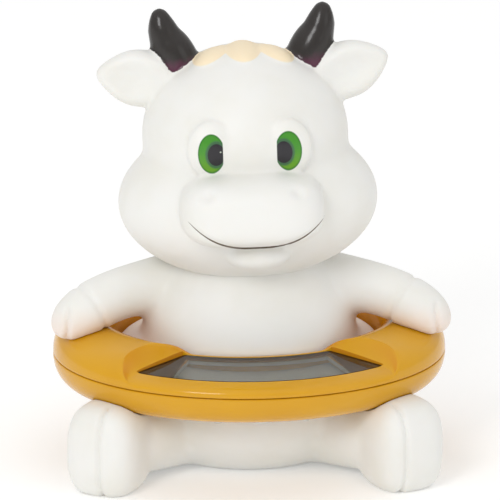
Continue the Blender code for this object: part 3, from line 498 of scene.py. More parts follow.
# Shader helpers
class Paint:
    """Builds the nodes of one material."""

    def __init__(self, name, color, roughness, **values):
        """Start a material with constants on its shader."""
        self.material = bpy.data.materials.new(name)
        self.material.use_nodes = True
        self.nodes = self.material.node_tree.nodes
        self.links = self.material.node_tree.links
        self.shader = self.nodes["Principled BSDF"]
        self.shader.inputs["Base Color"].default_value = (*color, 1.0)
        self.shader.inputs["Roughness"].default_value = roughness
        for label, value in values.items():
            self.shader.inputs[label.replace("_", " ")].default_value = value

    def node(self, kind, **settings):
        """Add a node with its settings."""
        made = self.nodes.new(kind)
        for label, value in settings.items():
            setattr(made, label, value)
        return made

    def feed(self, socket, value):
        """Set a socket to a constant, or link a value to it."""
        if isinstance(value, (int, float, tuple)):
            socket.default_value = value
        else:
            self.links.new(value, socket)

    def calc(self, operation, *values):
        """Return the result of a calculation."""
        made = self.node("ShaderNodeMath", operation=operation)
        for socket, value in zip(made.inputs, values):
            self.feed(socket, value)
        return made.outputs[0]

    def product(self, first, *others):
        """Return the product of two or more values."""
        for other in others:
            first = self.calc("MULTIPLY", first, other)
        return first

    def step(self, value, low, high):
        """Return 0 at low and 1 at high, in either order, smooth between."""
        made = self.node("ShaderNodeMapRange", interpolation_type="SMOOTHSTEP")
        self.feed(made.inputs["Value"], value)
        made.inputs["From Min"].default_value = min(low, high)
        made.inputs["From Max"].default_value = max(low, high)
        result = made.outputs["Result"]
        return self.calc("SUBTRACT", 1.0, result) if low > high else result

    def mix(self, factor, first, second):
        """Return a mix of two colors."""
        made = self.node("ShaderNodeMix", data_type="RGBA")
        self.feed(made.inputs["Factor"], factor)
        colors = [socket for socket in made.inputs if socket.type == "RGBA"]
        for socket, color in zip(colors, (first, second)):
            self.feed(socket, (*color, 1.0) if isinstance(color, tuple) else color)
        return [socket for socket in made.outputs if socket.type == "RGBA"][0]

    def where(self, output):
        """Return a place or direction of the surface."""
        return self.node("ShaderNodeTexCoord").outputs[output]

    def split(self, vector):
        """Return a vector's three parts."""
        made = self.node("ShaderNodeSeparateXYZ")
        self.links.new(vector, made.inputs[0])
        return made.outputs

    def noise(self, scale, detail):
        """Return noise over the object's own space."""
        made = self.node("ShaderNodeTexNoise")
        made.inputs["Scale"].default_value = scale
        made.inputs["Detail"].default_value = detail
        self.links.new(self.where("Object"), made.inputs["Vector"])
        return made.outputs["Fac"]

    def attribute(self, name, output="Fac"):
        """Return values that the mesh holds for its vertices."""
        return self.node("ShaderNodeAttribute", attribute_name=name).outputs[output]

    def bump(self, height, distance, strength):
        """Give the surface a fine relief."""
        made = self.node("ShaderNodeBump")
        made.inputs["Distance"].default_value = distance
        made.inputs["Strength"].default_value = strength
        self.links.new(height, made.inputs["Height"])
        self.links.new(made.outputs["Normal"], self.shader.inputs["Normal"])

    def color(self, socket):
        """Set the base color."""
        self.links.new(socket, self.shader.inputs["Base Color"])

    def roughness(self, socket):
        """Set the roughness."""
        self.links.new(socket, self.shader.inputs["Roughness"])


def vinyl_base(name):
    """Return the matte white vinyl, with faint mottling and grain."""
    paint = Paint(name, VINYL_COLOR, VINYL_ROUGHNESS, IOR=1.45, Subsurface_Weight=0.12,
                  Subsurface_Radius=(1.0, 0.8, 0.6), Subsurface_Scale=0.002)
    mottle = paint.step(paint.noise(*MOTTLE_NOISE), *MOTTLE_RANGE)
    color = paint.mix(mottle, VINYL_COLOR, VINYL_SHADE)
    paint.bump(paint.noise(*GRAIN_NOISE), *VINYL_GRAIN)
    return paint, color


def ellipse_share(paint, x, z, centre, radii):
    """Return how far a place is from an ellipse's centre; 1 lies on the ellipse."""
    across = paint.calc("DIVIDE", paint.calc("SUBTRACT", x, centre[0]), radii[0])
    upward = paint.calc("DIVIDE", paint.calc("SUBTRACT", z, centre[1]), radii[1])
    total = paint.calc("ADD", paint.product(across, across), paint.product(upward, upward))
    return paint.calc("SQRT", total)


def paint_horns(paint, color, z):
    """Return the color with dark horns over it, and the horns' mask."""
    ragged = paint.product(paint.calc("SUBTRACT", paint.noise(*HORN_EDGE_NOISE), 0.5), HORN_RAGGED)
    horn = paint.step(paint.calc("ADD", paint.attribute("horn"), ragged), -HORN_EDGE, HORN_EDGE)
    worn = paint.calc("ADD", z, paint.product(paint.noise(*HORN_WEAR_NOISE), HORN_WEAR))
    root = paint.step(worn, HORN_ROOT_LOW, HORN_ROOT_HIGH)
    return paint.mix(horn, color, paint.mix(root, HORN_ROOT_COLOR, HORN_COLOR)), horn


def paint_eyes(paint, color, x, z, in_front):
    """Return the color with the eyes and a painted highlight on one eye over it, and the irises' mask.
    """
    mirror_x = paint.calc("ABSOLUTE", x)
    inner = paint.step(mirror_x, IRIS_INNER_EDGE - EYE_EDGE, IRIS_INNER_EDGE + EYE_EDGE)
    iris = ellipse_share(paint, mirror_x, z, (EYE_SPACING + IRIS_SHIFT, IRIS_HEIGHT), IRIS_RADII)
    iris_mask = paint.product(paint.step(iris, *IRIS_EDGE), inner, in_front)
    high = paint.step(z, IRIS_HEIGHT - IRIS_RADII[1], IRIS_HEIGHT + IRIS_SHADE_TOP * IRIS_RADII[1])
    streaks = paint.product(paint.noise(*IRIS_NOISE), IRIS_STREAK_SHARE)
    shade = paint.calc("ADD", paint.product(high, IRIS_SHADE_SHARE), streaks)
    iris_color = paint.mix(shade, IRIS_LOW_COLOR, IRIS_COLOR)
    iris_color = paint.mix(paint.step(iris, *IRIS_RIM), iris_color, IRIS_RIM_COLOR)
    pupil_centre = (EYE_SPACING - PUPIL_SHIFT[0], IRIS_HEIGHT + PUPIL_SHIFT[1])
    pupil = ellipse_share(paint, mirror_x, z, pupil_centre, PUPIL_RADII)
    iris_color = paint.mix(paint.step(pupil, *PUPIL_BAND), iris_color, PUPIL_BAND_COLOR)
    color = paint.mix(iris_mask, color, iris_color)
    pupil_mask = paint.product(paint.step(pupil, *PUPIL_EDGE), inner, in_front)
    color = paint.mix(pupil_mask, color, PUPIL_COLOR)
    # Painted highlight: the catchlight, a reflection on one eye only
    spot = ellipse_share(paint, x, z, CATCHLIGHT, (CATCHLIGHT_RADIUS, CATCHLIGHT_RADIUS))
    spot_mask = paint.product(paint.step(spot, *CATCHLIGHT_EDGE), in_front)
    return paint.mix(spot_mask, color, CATCHLIGHT_COLOR), iris_mask


def paint_mouth(paint, color, x, in_front):
    """Return the color with the thin mouth line over it."""
    away = paint.calc("ABSOLUTE", paint.calc("SUBTRACT", x, MOUTH_CENTRE))
    share = paint.calc("DIVIDE", away, MOUTH_HALF_WIDTH)
    taper = paint.calc("SUBTRACT", 1.0, paint.calc("POWER", share, MOUTH_TAPER_POWER))
    half = paint.product(paint.calc("MAXIMUM", taper, 0.0), MOUTH_LINE)
    wobble = paint.calc("ADD", MOUTH_LEAST, paint.product(paint.noise(*MOUTH_NOISE), MOUTH_WOBBLE))
    offset = paint.calc("ABSOLUTE", paint.attribute("mouth"))
    inside = paint.calc("SUBTRACT", paint.product(half, wobble), offset)
    line = paint.step(inside, -MOUTH_EDGE, MOUTH_EDGE)
    mask = paint.product(in_front, paint.step(share, *MOUTH_ENDS), line)
    return paint.mix(mask, color, MOUTH_COLOR)


def head_paint():
    """Return vinyl with painted horns, hair, eyes and mouth line."""
    paint, color = vinyl_base("painted_vinyl")
    x, y, z = paint.split(paint.attribute("head_place", "Vector"))
    in_front = paint.step(y, *FACE_LIMIT)
    hair = paint.step(paint.attribute("hair"), -HAIR_EDGE, HAIR_EDGE)
    color = paint.mix(hair, color, HAIR_COLOR)
    color, horn = paint_horns(paint, color, z)
    color, iris = paint_eyes(paint, color, x, z, in_front)
    paint.color(paint_mouth(paint, color, x, in_front))
    smoother = paint.product(paint.calc("MAXIMUM", horn, iris), PAINT_SMOOTHER)
    paint.roughness(paint.calc("SUBTRACT", VINYL_ROUGHNESS, smoother))
    return paint.material


def body_paint():
    """Return plain vinyl, with painted light: a warm glow reflected from the ring in the armpits."""
    paint, color = vinyl_base("plain_vinyl")
    x, _, z = paint.split(paint.where("Object"))
    # Painted reflected light: the ring's warm glow, beside the torso just above the ring
    beside = paint.step(paint.calc("ABSOLUTE", x), *PAINTED_BOUNCE_BESIDE)
    painted_bounce = paint.product(beside, paint.step(z, *PAINTED_BOUNCE_TOP), paint.step(z, *PAINTED_BOUNCE_FOOT), PAINTED_BOUNCE_SHARE)
    paint.color(paint.mix(painted_bounce, color, PAINTED_BOUNCE_COLOR))
    return paint.material


def shell_paint():
    """Return the glossy yellow moulded plastic, with painted shade where it faces the ring's middle.
    """
    paint = Paint("gloss_yellow", SHELL_COLOR, 0.2, IOR=1.5, Specular_IOR_Level=0.42)
    tint = paint.step(paint.noise(*TINT_NOISE), *SHELL_NOISE_RANGE)
    color = paint.mix(tint, SHELL_COLOR, SHELL_SHADE)
    # Painted shade: darker orange on the scoops and the hole's wall, where they face the ring's middle
    side = paint.calc("SIGN", paint.split(paint.where("Object"))[0])
    inward = paint.product(side, paint.split(paint.where("Normal"))[0])
    paint.color(paint.mix(paint.step(inward, *SHELL_PAINTED_SHADE_FACING), color, SHELL_PAINTED_SHADE_COLOR))
    smear = paint.step(paint.noise(*SMEAR_NOISE), *SHELL_NOISE_RANGE)
    paint.roughness(paint.calc("ADD", SHELL_SMOOTHEST, paint.product(smear, SHELL_SMEAR)))
    paint.bump(paint.noise(*WAVE_NOISE), *SHELL_WAVES)
    return paint.material


def window_paint():
    """Return the smoked clear plastic, printed dark on its ends and its far border."""
    paint = Paint("smoked_clear", WINDOW_COLOR, 0.06, IOR=1.49, Transmission_Weight=1.0)
    x, y, _ = paint.split(paint.attribute("panel_place", "Vector"))
    low, high = (Vector(corner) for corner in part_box("lcd_panel"))
    middle_y = 0.5 * (low.y + high.y)
    half = 0.5 * (high.x - low.x) - WINDOW_END_MARGIN
    slant = paint.product(paint.calc("SUBTRACT", y, middle_y), WINDOW_END_SLANT)
    reach = paint.calc("ADD", paint.calc("ABSOLUTE", x), slant)
    ends = paint.step(reach, half - WINDOW_END_EDGE, half + WINDOW_END_EDGE)
    inset = WINDOW_INNER_INSET + WINDOW_BORDER
    radii = (HOLE_HALF_WIDTH + inset, HOLE_HALF_DEPTH + inset)
    border = paint.step(ellipse_share(paint, x, y, (0.0, HOLE_SHIFT), radii), *WINDOW_BORDER_EDGE)
    paint.color(paint.mix(paint.calc("MAXIMUM", ends, border), WINDOW_COLOR, WINDOW_END_COLOR))
    return paint.material


def lcd_paint():
    """Return the blank grey panel."""
    paint = Paint("grey_panel", LCD_COLOR, 0.35)
    paint.color(paint.mix(paint.noise(*LCD_NOISE), LCD_COLOR, LCD_SPECKLE_COLOR))
    return paint.material


def plain_paint(name, color, roughness, metallic=0.0):
    """Return a simple finish with slight variation."""
    paint = Paint(name, color, roughness, Metallic=metallic)
    darker = tuple(PLAIN_SHADE * value for value in color)
    paint.color(paint.mix(paint.noise(*PLAIN_NOISE), color, darker))
    spread = paint.product(paint.noise(*PLAIN_NOISE), PLAIN_SPREAD)
    paint.roughness(paint.calc("ADD", roughness - 0.5 * PLAIN_SPREAD, spread))
    return paint.material


# Head
def cranium_point(x, y):
    """Return the point on top of the cranium above x, y."""
    flat_x = (x - CRANIUM_CENTRE.x) / CRANIUM_RADII.x
    flat_y = (y - CRANIUM_CENTRE.y) / CRANIUM_RADII.y
    rise = math.sqrt(max(0.0, 1.0 - flat_x ** 2 - flat_y ** 2))
    return Vector((x, y, CRANIUM_CENTRE.z + CRANIUM_RADII.z * rise))


def add_head_core(bm):
    """Add the cranium and the cheeks."""
    add_blob(bm, CRANIUM_CENTRE, CRANIUM_RADII)
    add_blob(bm, CHEEK_CENTRE, CHEEK_RADII)


def add_ear(bm, side):
    """Add one leaf-shaped ear with a softly hollowed front."""
    centre = CRANIUM_CENTRE + mirrored(EAR_OFFSET, side)
    lift = EAR_LIFT_LEFT if side > 0.0 else EAR_LIFT_RIGHT
    place = Matrix.Translation(centre) @ Matrix.Rotation(-side * lift, 4, "Y")
    ear_bm = bmesh.new()
    add_blob(ear_bm, Vector(), EAR_RADII, power=EAR_POWER)
    for vert in ear_bm.verts:
        outward = side * vert.co.x / EAR_RADII.x
        across = (outward - EAR_DISH_CENTRE[0]) / EAR_DISH_REACH[0]
        upward = (vert.co.z / EAR_RADII.z - EAR_DISH_CENTRE[1]) / EAR_DISH_REACH[1]
        hollow = max(0.0, 1.0 - across ** 2 - upward ** 2)
        if vert.co.y < 0.0:
            vert.co.y += EAR_DISH * hollow ** EAR_DISH_POWER
        vert.co.z *= 1.0 - EAR_TAPER * max(0.0, outward) ** 2
        vert.co = place @ vert.co
    ear = mesh_object("ear_shape", ear_bm)
    bm.from_mesh(ear.data)
    remove(ear)


def horn_points(side):
    """Return the horn's centre line and its radii, root to tip."""
    root = cranium_point(HORN_SPREAD, CRANIUM_CENTRE.y + HORN_SETBACK)
    reach = HORN_HEIGHT - HORN_TIP_RADIUS
    points = []
    for rise, lean in zip(HORN_RISE_SHARES, HORN_LEAN_SHARES):
        points.append(mirrored(root + Vector((lean * HORN_LEAN, 0.0, rise * reach)), side))
    taper = HORN_BASE_RADIUS - HORN_TIP_RADIUS
    return points, [HORN_TIP_RADIUS + taper * share for share in HORN_RADIUS_SHARES]


def hair_petals():
    """Return place, radii and turn of the three low petals."""
    petals = []
    for x in (-HAIR_SPACING, 0.0, HAIR_SPACING):
        lean = x / CRANIUM_RADII.x
        crown = cranium_point(x, CRANIUM_CENTRE.y - HAIR_FORWARD * HAIR_REACH)
        centre = crown + Vector((0.0, 0.0, HAIR_RELIEF - PETAL_SUNK * PETAL_DEPTH))
        radii = (PETAL_RADIUS, HAIR_REACH * (1.0 - PETAL_SHORTENING * abs(lean)), PETAL_DEPTH)
        petals.append((centre, radii, (0.0, lean, PETAL_SPLAY * lean)))
    return petals


def add_head_trim(bm):
    """Add muzzle, lower lip, ears, horns, hair petals and the raised eye fields."""
    add_blob(bm, MUZZLE_CENTRE, MUZZLE_RADII, power=MUZZLE_POWER)
    add_blob(bm, LIP_CENTRE, LIP_RADII)
    for side in (-1.0, 1.0):
        add_ear(bm, side)
        points, radii = horn_points(side)
        add_limb(bm, points, radii)
        flat = math.sqrt(1.0 - (EYE_SPACING / CRANIUM_RADII.x) ** 2)
        front = CRANIUM_CENTRE.y - flat * CRANIUM_RADII.y
        centre = Vector((side * EYE_SPACING, front + EYE_FIELD_SINK * EYE_FIELD.y, EYE_HEIGHT))
        add_blob(bm, centre, EYE_FIELD)
    for centre, radii, turn in hair_petals():
        add_blob(bm, centre, radii, turn)


def horn_field(places):
    """Return how far places lie inside the horns' paint, in metres."""
    field = np.full(len(places), -1.0)
    for side in (-1.0, 1.0):
        points, radii = horn_points(side)
        knots = [(*point, radius) for point, radius in zip(points, radii)]
        for number in range(HORN_STEPS, HORN_STEPS * (len(knots) - 1) + 1):
            x, y, z, radius = curve_value(knots, number / HORN_STEPS)
            reach = np.linalg.norm(places - np.array((x, y, z)), axis=1)
            field = np.maximum(field, radius + HORN_PAINT - reach)
    return field


def hair_field(places):
    """Return how far places lie inside the hair's paint, in metres."""
    field = np.full(len(places), -1.0)
    for centre, radii, turn in hair_petals():
        local = (places - np.array(centre)) @ np.array(Euler(turn).to_matrix())
        flat = local[:, :2] / np.array(radii[:2])
        here = (1.0 - np.linalg.norm(flat, axis=1)) * radii[0]
        here[local[:, 2] < -PETAL_PAINT_DEPTH * radii[2]] = -1.0
        field = np.maximum(field, here)
    return field


def mouth_field(places):
    """Return how far places lie above the mouth line, measured square to the view."""
    seen = places[:, 2] * math.cos(CAMERA_ELEVATION) + places[:, 1] * math.sin(CAMERA_ELEVATION)
    share = np.abs(places[:, 0] - MOUTH_CENTRE) / MOUTH_HALF_WIDTH
    return seen - MOUTH_LOW - MOUTH_RISE * np.minimum(share, MOUTH_LAST_SHARE) ** MOUTH_POWER


def smooth_step(values, low, high):
    """Return 0 below low and 1 above high, smooth between."""
    t = np.clip((values - low) / (high - low), 0.0, 1.0)
    return t * t * (3.0 - 2.0 * t)


def sink(mesh, depths):
    """Press the surface inwards by a depth for each vertex."""
    places = vertex_places(mesh) - vector_rows(mesh.vertex_normals, "vector") * depths[:, None]
    mesh.vertices.foreach_set("co", places.ravel())
    mesh.update()


def sculpt_face(mesh):
    """Press the mouth line, the nostrils and the eye fields' rims into the head."""
    places = vertex_places(mesh)
    share = np.abs(places[:, 0] - MOUTH_CENTRE) / MOUTH_HALF_WIDTH
    near = 1.0 - smooth_step(share, *MOUTH_GROOVE_ENDS)
    near *= 1.0 - smooth_step(places[:, 1], *MOUTH_GROOVE_BACK)
    depths = MOUTH_GROOVE * near * np.exp(-(mouth_field(places) / MOUTH_GROOVE_WIDTH) ** 2)
    for side in (-1.0, 1.0):
        reach = np.linalg.norm(places - np.array(mirrored(NOSTRIL, side)), axis=1)
        depths += NOSTRIL_DEPTH * np.exp(-(reach / NOSTRIL_RADIUS) ** 2)
        across = (side * places[:, 0] - EYE_SPACING) / EYE_FIELD.x
        upward = (places[:, 2] - EYE_HEIGHT) / EYE_FIELD.z
        rim = np.exp(-((np.hypot(across, upward) - RIM_SHARE) / RIM_WIDTH) ** 2)
        outer = smooth_step(across + RIM_SLANT * upward, *RIM_FADE) * (places[:, 1] < CRANIUM_CENTRE.y)
        depths += RIM_DEPTH * rim * outer
    sink(mesh, depths)


def build_head():
    """Build the head's fine skin with its painted places."""
    bm = bmesh.new()
    add_head_core(bm)
    core = mesh_object("head_core", bm)
    melt(core, HEAD_VOXEL * CORE_COARSENESS, CORE_SMOOTHING)
    bm = bmesh.new()
    bm.from_mesh(core.data)
    remove(core)
    add_head_trim(bm)
    head = mesh_object("head_skin", bm)
    melt(head, HEAD_VOXEL, TRIM_SMOOTHING)
    mesh = head.data
    sculpt_face(mesh)
    places = vertex_places(mesh)
    store(mesh, "head_place", places)
    store(mesh, "horn", horn_field(places))
    store(mesh, "hair", hair_field(places))
    store(mesh, "mouth", mouth_field(places))
    mesh.transform(head_turn())
    mesh.materials.append(head_paint())
    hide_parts("figure_head")
    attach(head, BODY)


def head_turn():
    """Return the head's roll about its seat."""
    move = Matrix.Translation(NECK_PIVOT)
    return move @ Matrix.Rotation(-HEAD_ROLL, 4, "Y") @ move.inverted()


# Ring
def panel_share(angle):
    """Return 1 in the display panel, 0 along the raised sides."""
    t = (abs(angle) - SCOOP_START) / (SCOOP_END - SCOOP_START)
    t = min(1.0, max(0.0, t))
    swung = 0.5 * (1.0 - SCOOP_ROUND) * (1.0 + math.cos(math.pi * t))
    return SCOOP_ROUND * math.cos(0.5 * math.pi * t) + swung


def blend(side_value, panel_value, angle):
    """Mix a value of the raised sides with one of the display panel."""
    share = panel_share(angle)
    return side_value + (panel_value - side_value) * share


def swept(angle, share):
    """Turn a section's angle so that the scoops run aslant over the ring."""
    foot = SCOOP_FOOT_INNER + (SCOOP_FOOT_OUTER - SCOOP_FOOT_INNER) * share
    arch = 1.0 - (1.0 - share) ** SCOOP_ARCH
    ridge = SCOOP_RIDGE_INNER + (SCOOP_RIDGE_OUTER - SCOOP_RIDGE_INNER) * arch
    turned = np.interp(abs(angle), (0.0, SCOOP_START, SCOOP_END, math.pi), (0.0, foot, ridge, math.pi))
    return math.copysign(float(turned), angle)


def ring_edges(angle, grow):
    """Return the outer and inner edge points at a place round the ring."""
    right, back = math.sin(angle), -math.cos(angle)
    outer = Vector((right * (RING_HALF_WIDTH + grow), back * (RING_HALF_DEPTH + grow)))
    inner = Vector((right * (HOLE_HALF_WIDTH - grow), HOLE_SHIFT + back * (HOLE_HALF_DEPTH - grow)))
    return outer, inner


def section_point(angle, turn, grow, roof):
    """Return a point of the ring's section; turn 0 is outside, pi/2 on top, pi inside."""
    upper = math.sin(turn) >= 0.0
    panel_power = PANEL_LIP_POWER if math.cos(turn) > 0.0 else PANEL_RIM_POWER
    power = blend(SIDE_POWER, panel_power, angle) if upper else BELLY_POWER
    across = math.copysign(abs(math.cos(turn)) ** (2.0 / power), math.cos(turn))
    share = 0.5 + 0.5 * across
    height = abs(math.sin(turn)) ** (2.0 / power)
    place_angle = angle
    if upper:
        place_angle += (swept(angle, share) - angle) * height
        inside_rise = blend(SIDE_RISE_INNER, PANEL_RISE_INNER, angle)
        outside_rise = blend(SIDE_RISE_OUTER, PANEL_RISE_OUTER, angle)
        height *= inside_rise + (outside_rise - inside_rise) * share + roof
    else:
        height *= -(BELLY_DEPTH + grow)
    outer, inner = ring_edges(place_angle, grow)
    place = inner.lerp(outer, share)
    return Vector((place.x, place.y, SEAM_HEIGHT + height))


def loft(bm, rings):
    """Join closed loops of points into a closed tube round the ring."""
    rows = [[bm.verts.new(point) for point in ring] for ring in rings]
    for i, row in enumerate(rows):
        after = rows[(i + 1) % len(rows)]
        for j in range(len(row)):
            k = (j + 1) % len(row)
            bm.faces.new((row[j], row[k], after[k], after[j]))


def ring_angles(fineness):
    """Return the angles round the ring, closer together at the scoops."""
    marks = (0.0, SCOOP_START, SCOOP_END, math.pi)
    half = []
    for start, end, step in zip(marks, marks[1:], (PANEL_STEP, SCOOP_STEP, SIDE_STEP)):
        count = max(2, round(fineness * (end - start) / step))
        half += [start + (end - start) * i / count for i in range(count)]
    return half + [math.pi] + [-angle for angle in half[:0:-1]]


def ring_turn():
    """Return the ring's turn about the upright axis."""
    return Matrix.Rotation(RING_YAW, 4, "Z")


def ring_envelope(grow):
    """Make the whole ring's outer form, grown by a gap, as a cutting tool."""
    rings = []
    for angle in ring_angles(ENVELOPE_FINENESS):
        top = [math.pi * i / ENVELOPE_TOP_STEPS for i in range(ENVELOPE_TOP_STEPS)]
        belly = [math.pi + math.pi * i / ENVELOPE_BELLY_STEPS for i in range(ENVELOPE_BELLY_STEPS)]
        rings.append([section_point(angle, turn, grow, grow) for turn in top + belly])
    bm = bmesh.new()
    loft(bm, rings)
    tool = mesh_object("ring_envelope", bm)
    tool.data.transform(ring_turn())
    return tool


def arc_points(angle, start, end, steps, grow, roof, offset):
    """Return a stretch of the section, its ends an offset from the parting line."""
    points = []
    for i in range(steps + 1):
        turn = start + (end - start) * i / steps
        point = section_point(angle, turn, grow, roof)
        if i in (0, steps):
            point.z = SEAM_HEIGHT + offset
        points.append(point)
    return points


def seam_rounding(points, offset):
    """Round the outer edge at the parting line inwards a little."""
    edge = points[0].copy()
    inward = Vector((points[-1].x - edge.x, points[-1].y - edge.y, 0.0)).normalized()
    up = math.copysign(1.0, offset)
    first = edge + inward * SEAM_ROUND
    bevel = SEAM_BEVEL * SEAM_ROUND
    second = edge + inward * bevel + Vector((0.0, 0.0, up * bevel))
    third = edge + Vector((0.0, 0.0, up * SEAM_ROUND))
    return [first, second, third]


def shell_section(angle, top):
    """Return one closed section of a shell: rounded edge, outside and inside."""
    gap = 0.5 * SEAM_GAP
    if top:
        roof = -blend(RING_WALL, PANEL_WALL, angle)
        outside = arc_points(angle, 0.0, math.pi, TOP_STEPS, 0.0, 0.0, gap)
        inside = arc_points(angle, math.pi, 0.0, INSIDE_STEPS, -RING_WALL, roof, gap)
        edge = seam_rounding(outside, gap)
    else:
        outside = arc_points(angle, 2.0 * math.pi, math.pi, BELLY_STEPS, 0.0, 0.0, -gap)
        inside = arc_points(angle, math.pi, 2.0 * math.pi, INSIDE_STEPS, -RING_WALL, 0.0, -gap)
        edge = seam_rounding(outside, -gap)
    clear = gap + SEAM_ROUND
    body = [point for point in outside if abs(point.z - SEAM_HEIGHT) > clear or point is outside[-1]]
    return edge + body + inside


def build_shells():
    """Build the ring's two shells with a fine surface."""
    shells = []
    for name, top in (("ring_upper_skin", True), ("ring_lower_skin", False)):
        rings = [shell_section(angle, top) for angle in ring_angles(1.0)]
        if len({len(ring) for ring in rings}) > 1:
            raise SystemExit("ring sections differ in length")
        bm = bmesh.new()
        loft(bm, rings)
        shell = mesh_object(name, bm)
        shell.data.materials.append(SHELL)
        shells.append(shell)
    return shells


def panel_outline(outer_inset, inner_inset, inner_half, outer_half, grow=0.0):
    """Return the outline between an outer and an inner arc of the ring."""
    wide, deep = (half - outer_inset + grow for half in (RING_HALF_WIDTH, RING_HALF_DEPTH))
    hole_wide, hole_deep = (half + inner_inset - grow for half in (HOLE_HALF_WIDTH, HOLE_HALF_DEPTH))
    points = []
    for i in range(OUTLINE_STEPS + 1):
        x = (outer_half + grow) * (2.0 * i / OUTLINE_STEPS - 1.0)
        points.append((x, -deep * math.sqrt(1.0 - (x / wide) ** 2)))
    for i in range(OUTLINE_STEPS + 1):
        x = (inner_half + grow) * (1.0 - 2.0 * i / OUTLINE_STEPS)
        points.append((x, HOLE_SHIFT - hole_deep * math.sqrt(1.0 - (x / hole_wide) ** 2)))
    return points


def share_across(x, y):
    """Return how far a point lies from the hole's edge, 0, to the ring's outer edge, 1."""
    low, high = 0.0, 1.0
    for _ in range(HALVINGS):
        share = 0.5 * (low + high)
        wide = HOLE_HALF_WIDTH + (RING_HALF_WIDTH - HOLE_HALF_WIDTH) * share
        deep = HOLE_HALF_DEPTH + (RING_HALF_DEPTH - HOLE_HALF_DEPTH) * share
        if (x / wide) ** 2 + ((y - HOLE_SHIFT * (1.0 - share)) / deep) ** 2 > 1.0:
            low = share
        else:
            high = share
    return share


def panel_level(offset):
    """Return the display panel's conical surface, moved by an offset."""
    span = PANEL_RISE_OUTER - PANEL_RISE_INNER
    return lambda x, y: SEAM_HEIGHT + PANEL_RISE_INNER + span * share_across(x, y) + offset


def add_walls(bm, bottom, top):
    """Join two closed rows of vertices by walls."""
    for i in range(len(bottom)):
        j = (i + 1) % len(bottom)
        bm.faces.new((bottom[i], bottom[j], top[j], top[i]))


def slab(name, outline, low, high):
    """Make a slab whose two facing arcs are joined in pairs."""
    bm = bmesh.new()
    bottom = [bm.verts.new((x, y, low(x, y))) for x, y in outline]
    top = [bm.verts.new((x, y, high(x, y))) for x, y in outline]
    for i in range(len(outline) // 2 - 1):
        corners = (i, i + 1, -i - 2, -i - 1)
        bm.faces.new([bottom[j] for j in corners[::-1]])
        bm.faces.new([top[j] for j in corners])
    add_walls(bm, bottom, top)
    return mesh_object(name, bm)


def build_window(top_shell):
    """Cut the recess and the grey-walled aperture, and build the window."""
    window = (WINDOW_OUTER_INSET, WINDOW_INNER_INSET, WINDOW_CORNER, WINDOW_TIP)
    low = -WINDOW_SINK - WINDOW_THICKNESS
    above = panel_level(SIDE_RISE_INNER)
    recess = panel_outline(*window, grow=CLEARANCE)
    cut(top_shell, slab("recess", recess, panel_level(low - CLEARANCE), above))
    opening = (WINDOW_OUTER_INSET + APERTURE_MARGIN, WINDOW_INNER_INSET + APERTURE_MARGIN,
               APERTURE_INNER, APERTURE_OUTER)
    aperture = slab("aperture", panel_outline(*opening), panel_level(-BELLY_DEPTH), above)
    top_shell.data.materials.append(PANEL)
    for finish in (SHELL, PANEL):
        aperture.data.materials.append(finish)
    for face in aperture.data.polygons:
        face.material_index = 1
    cut(top_shell, aperture)
    pane = slab("window_pane", panel_outline(*window), panel_level(low), panel_level(-WINDOW_SINK))
    pane.data.set_sharp_from_angle(angle=WINDOW_CREASE)
    pane.data.materials.append(window_paint())
    return pane


def add_prism(bm, outline, low, high):
    """Add an upright prism on a closed outline."""
    bottom = [bm.verts.new((x, y, low)) for x, y in outline]
    top = [bm.verts.new((x, y, high)) for x, y in outline]
    bm.faces.new(bottom[::-1])
    bm.faces.new(top)
    add_walls(bm, bottom, top)


def arc(x, y, radius, start, end, steps):
    """Return points along an arc."""
    turns = [start + (end - start) * i / steps for i in range(steps + 1)]
    return [(x + radius * math.cos(turn), y + radius * math.sin(turn)) for turn in turns]


def cut_underside(lower):
    """Open the lower shell for the cover, the screws, the sensor and the contacts."""
    floor = SEAM_HEIGHT - BELLY_DEPTH
    reach = COVER_RADIUS + CLEARANCE
    mouth = arc(COVER_X, COVER_FIRST_Y + COVER_REACH, reach, 0.0, math.pi, ARC_STEPS)
    mouth += arc(COVER_X, COVER_FIRST_Y, reach, math.pi, 2.0 * math.pi, ARC_STEPS)
    bm = bmesh.new()
    add_prism(bm, mouth, floor - RING_WALL, floor + COVER_DEPTH)
    bmesh.ops.transform(bm, matrix=ring_turn(), verts=bm.verts)
    radii = {"sensor_cap": SENSOR_RADIUS}
    radii.update({"water_contact_" + side: STUD_RADIUS for side in ("left", "right")})
    radii.update({"shell_screw_%d" % number: SCREW_HEAD_RADIUS for number in range(1, 5)})
    for node, radius in radii.items():
        low, high = (Vector(corner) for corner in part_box(node))
        middle = 0.5 * (low + high)
        hole = arc(middle.x, middle.y, radius + CLEARANCE, 0.0, 2.0 * math.pi, HOLE_STEPS)[:-1]
        add_prism(bm, hole, floor - RING_WALL, floor + HOLE_DEPTH)
    cut(lower, mesh_object("underside", bm, smooth=False))


def build_ring():
    """Build the ring's shells and window, and set them on the frame."""
    upper, lower = build_shells()
    pane = build_window(upper)
    rows = ((upper, "ring_top_shell", "yellow_shell"), (lower, "ring_bottom_shell", "yellow_shell"),
            (pane, "display_window", "smoked_window"))
    store(pane.data, "panel_place", vertex_places(pane.data))
    for piece, node, finish in rows:
        piece.data.transform(ring_turn())
        if piece is lower:
            cut_underside(lower)
        if piece is not pane:
            piece.data.shade_smooth()
            piece.data.set_sharp_from_angle(angle=RING_CREASE)
        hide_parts(node)
        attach(piece, BODY)


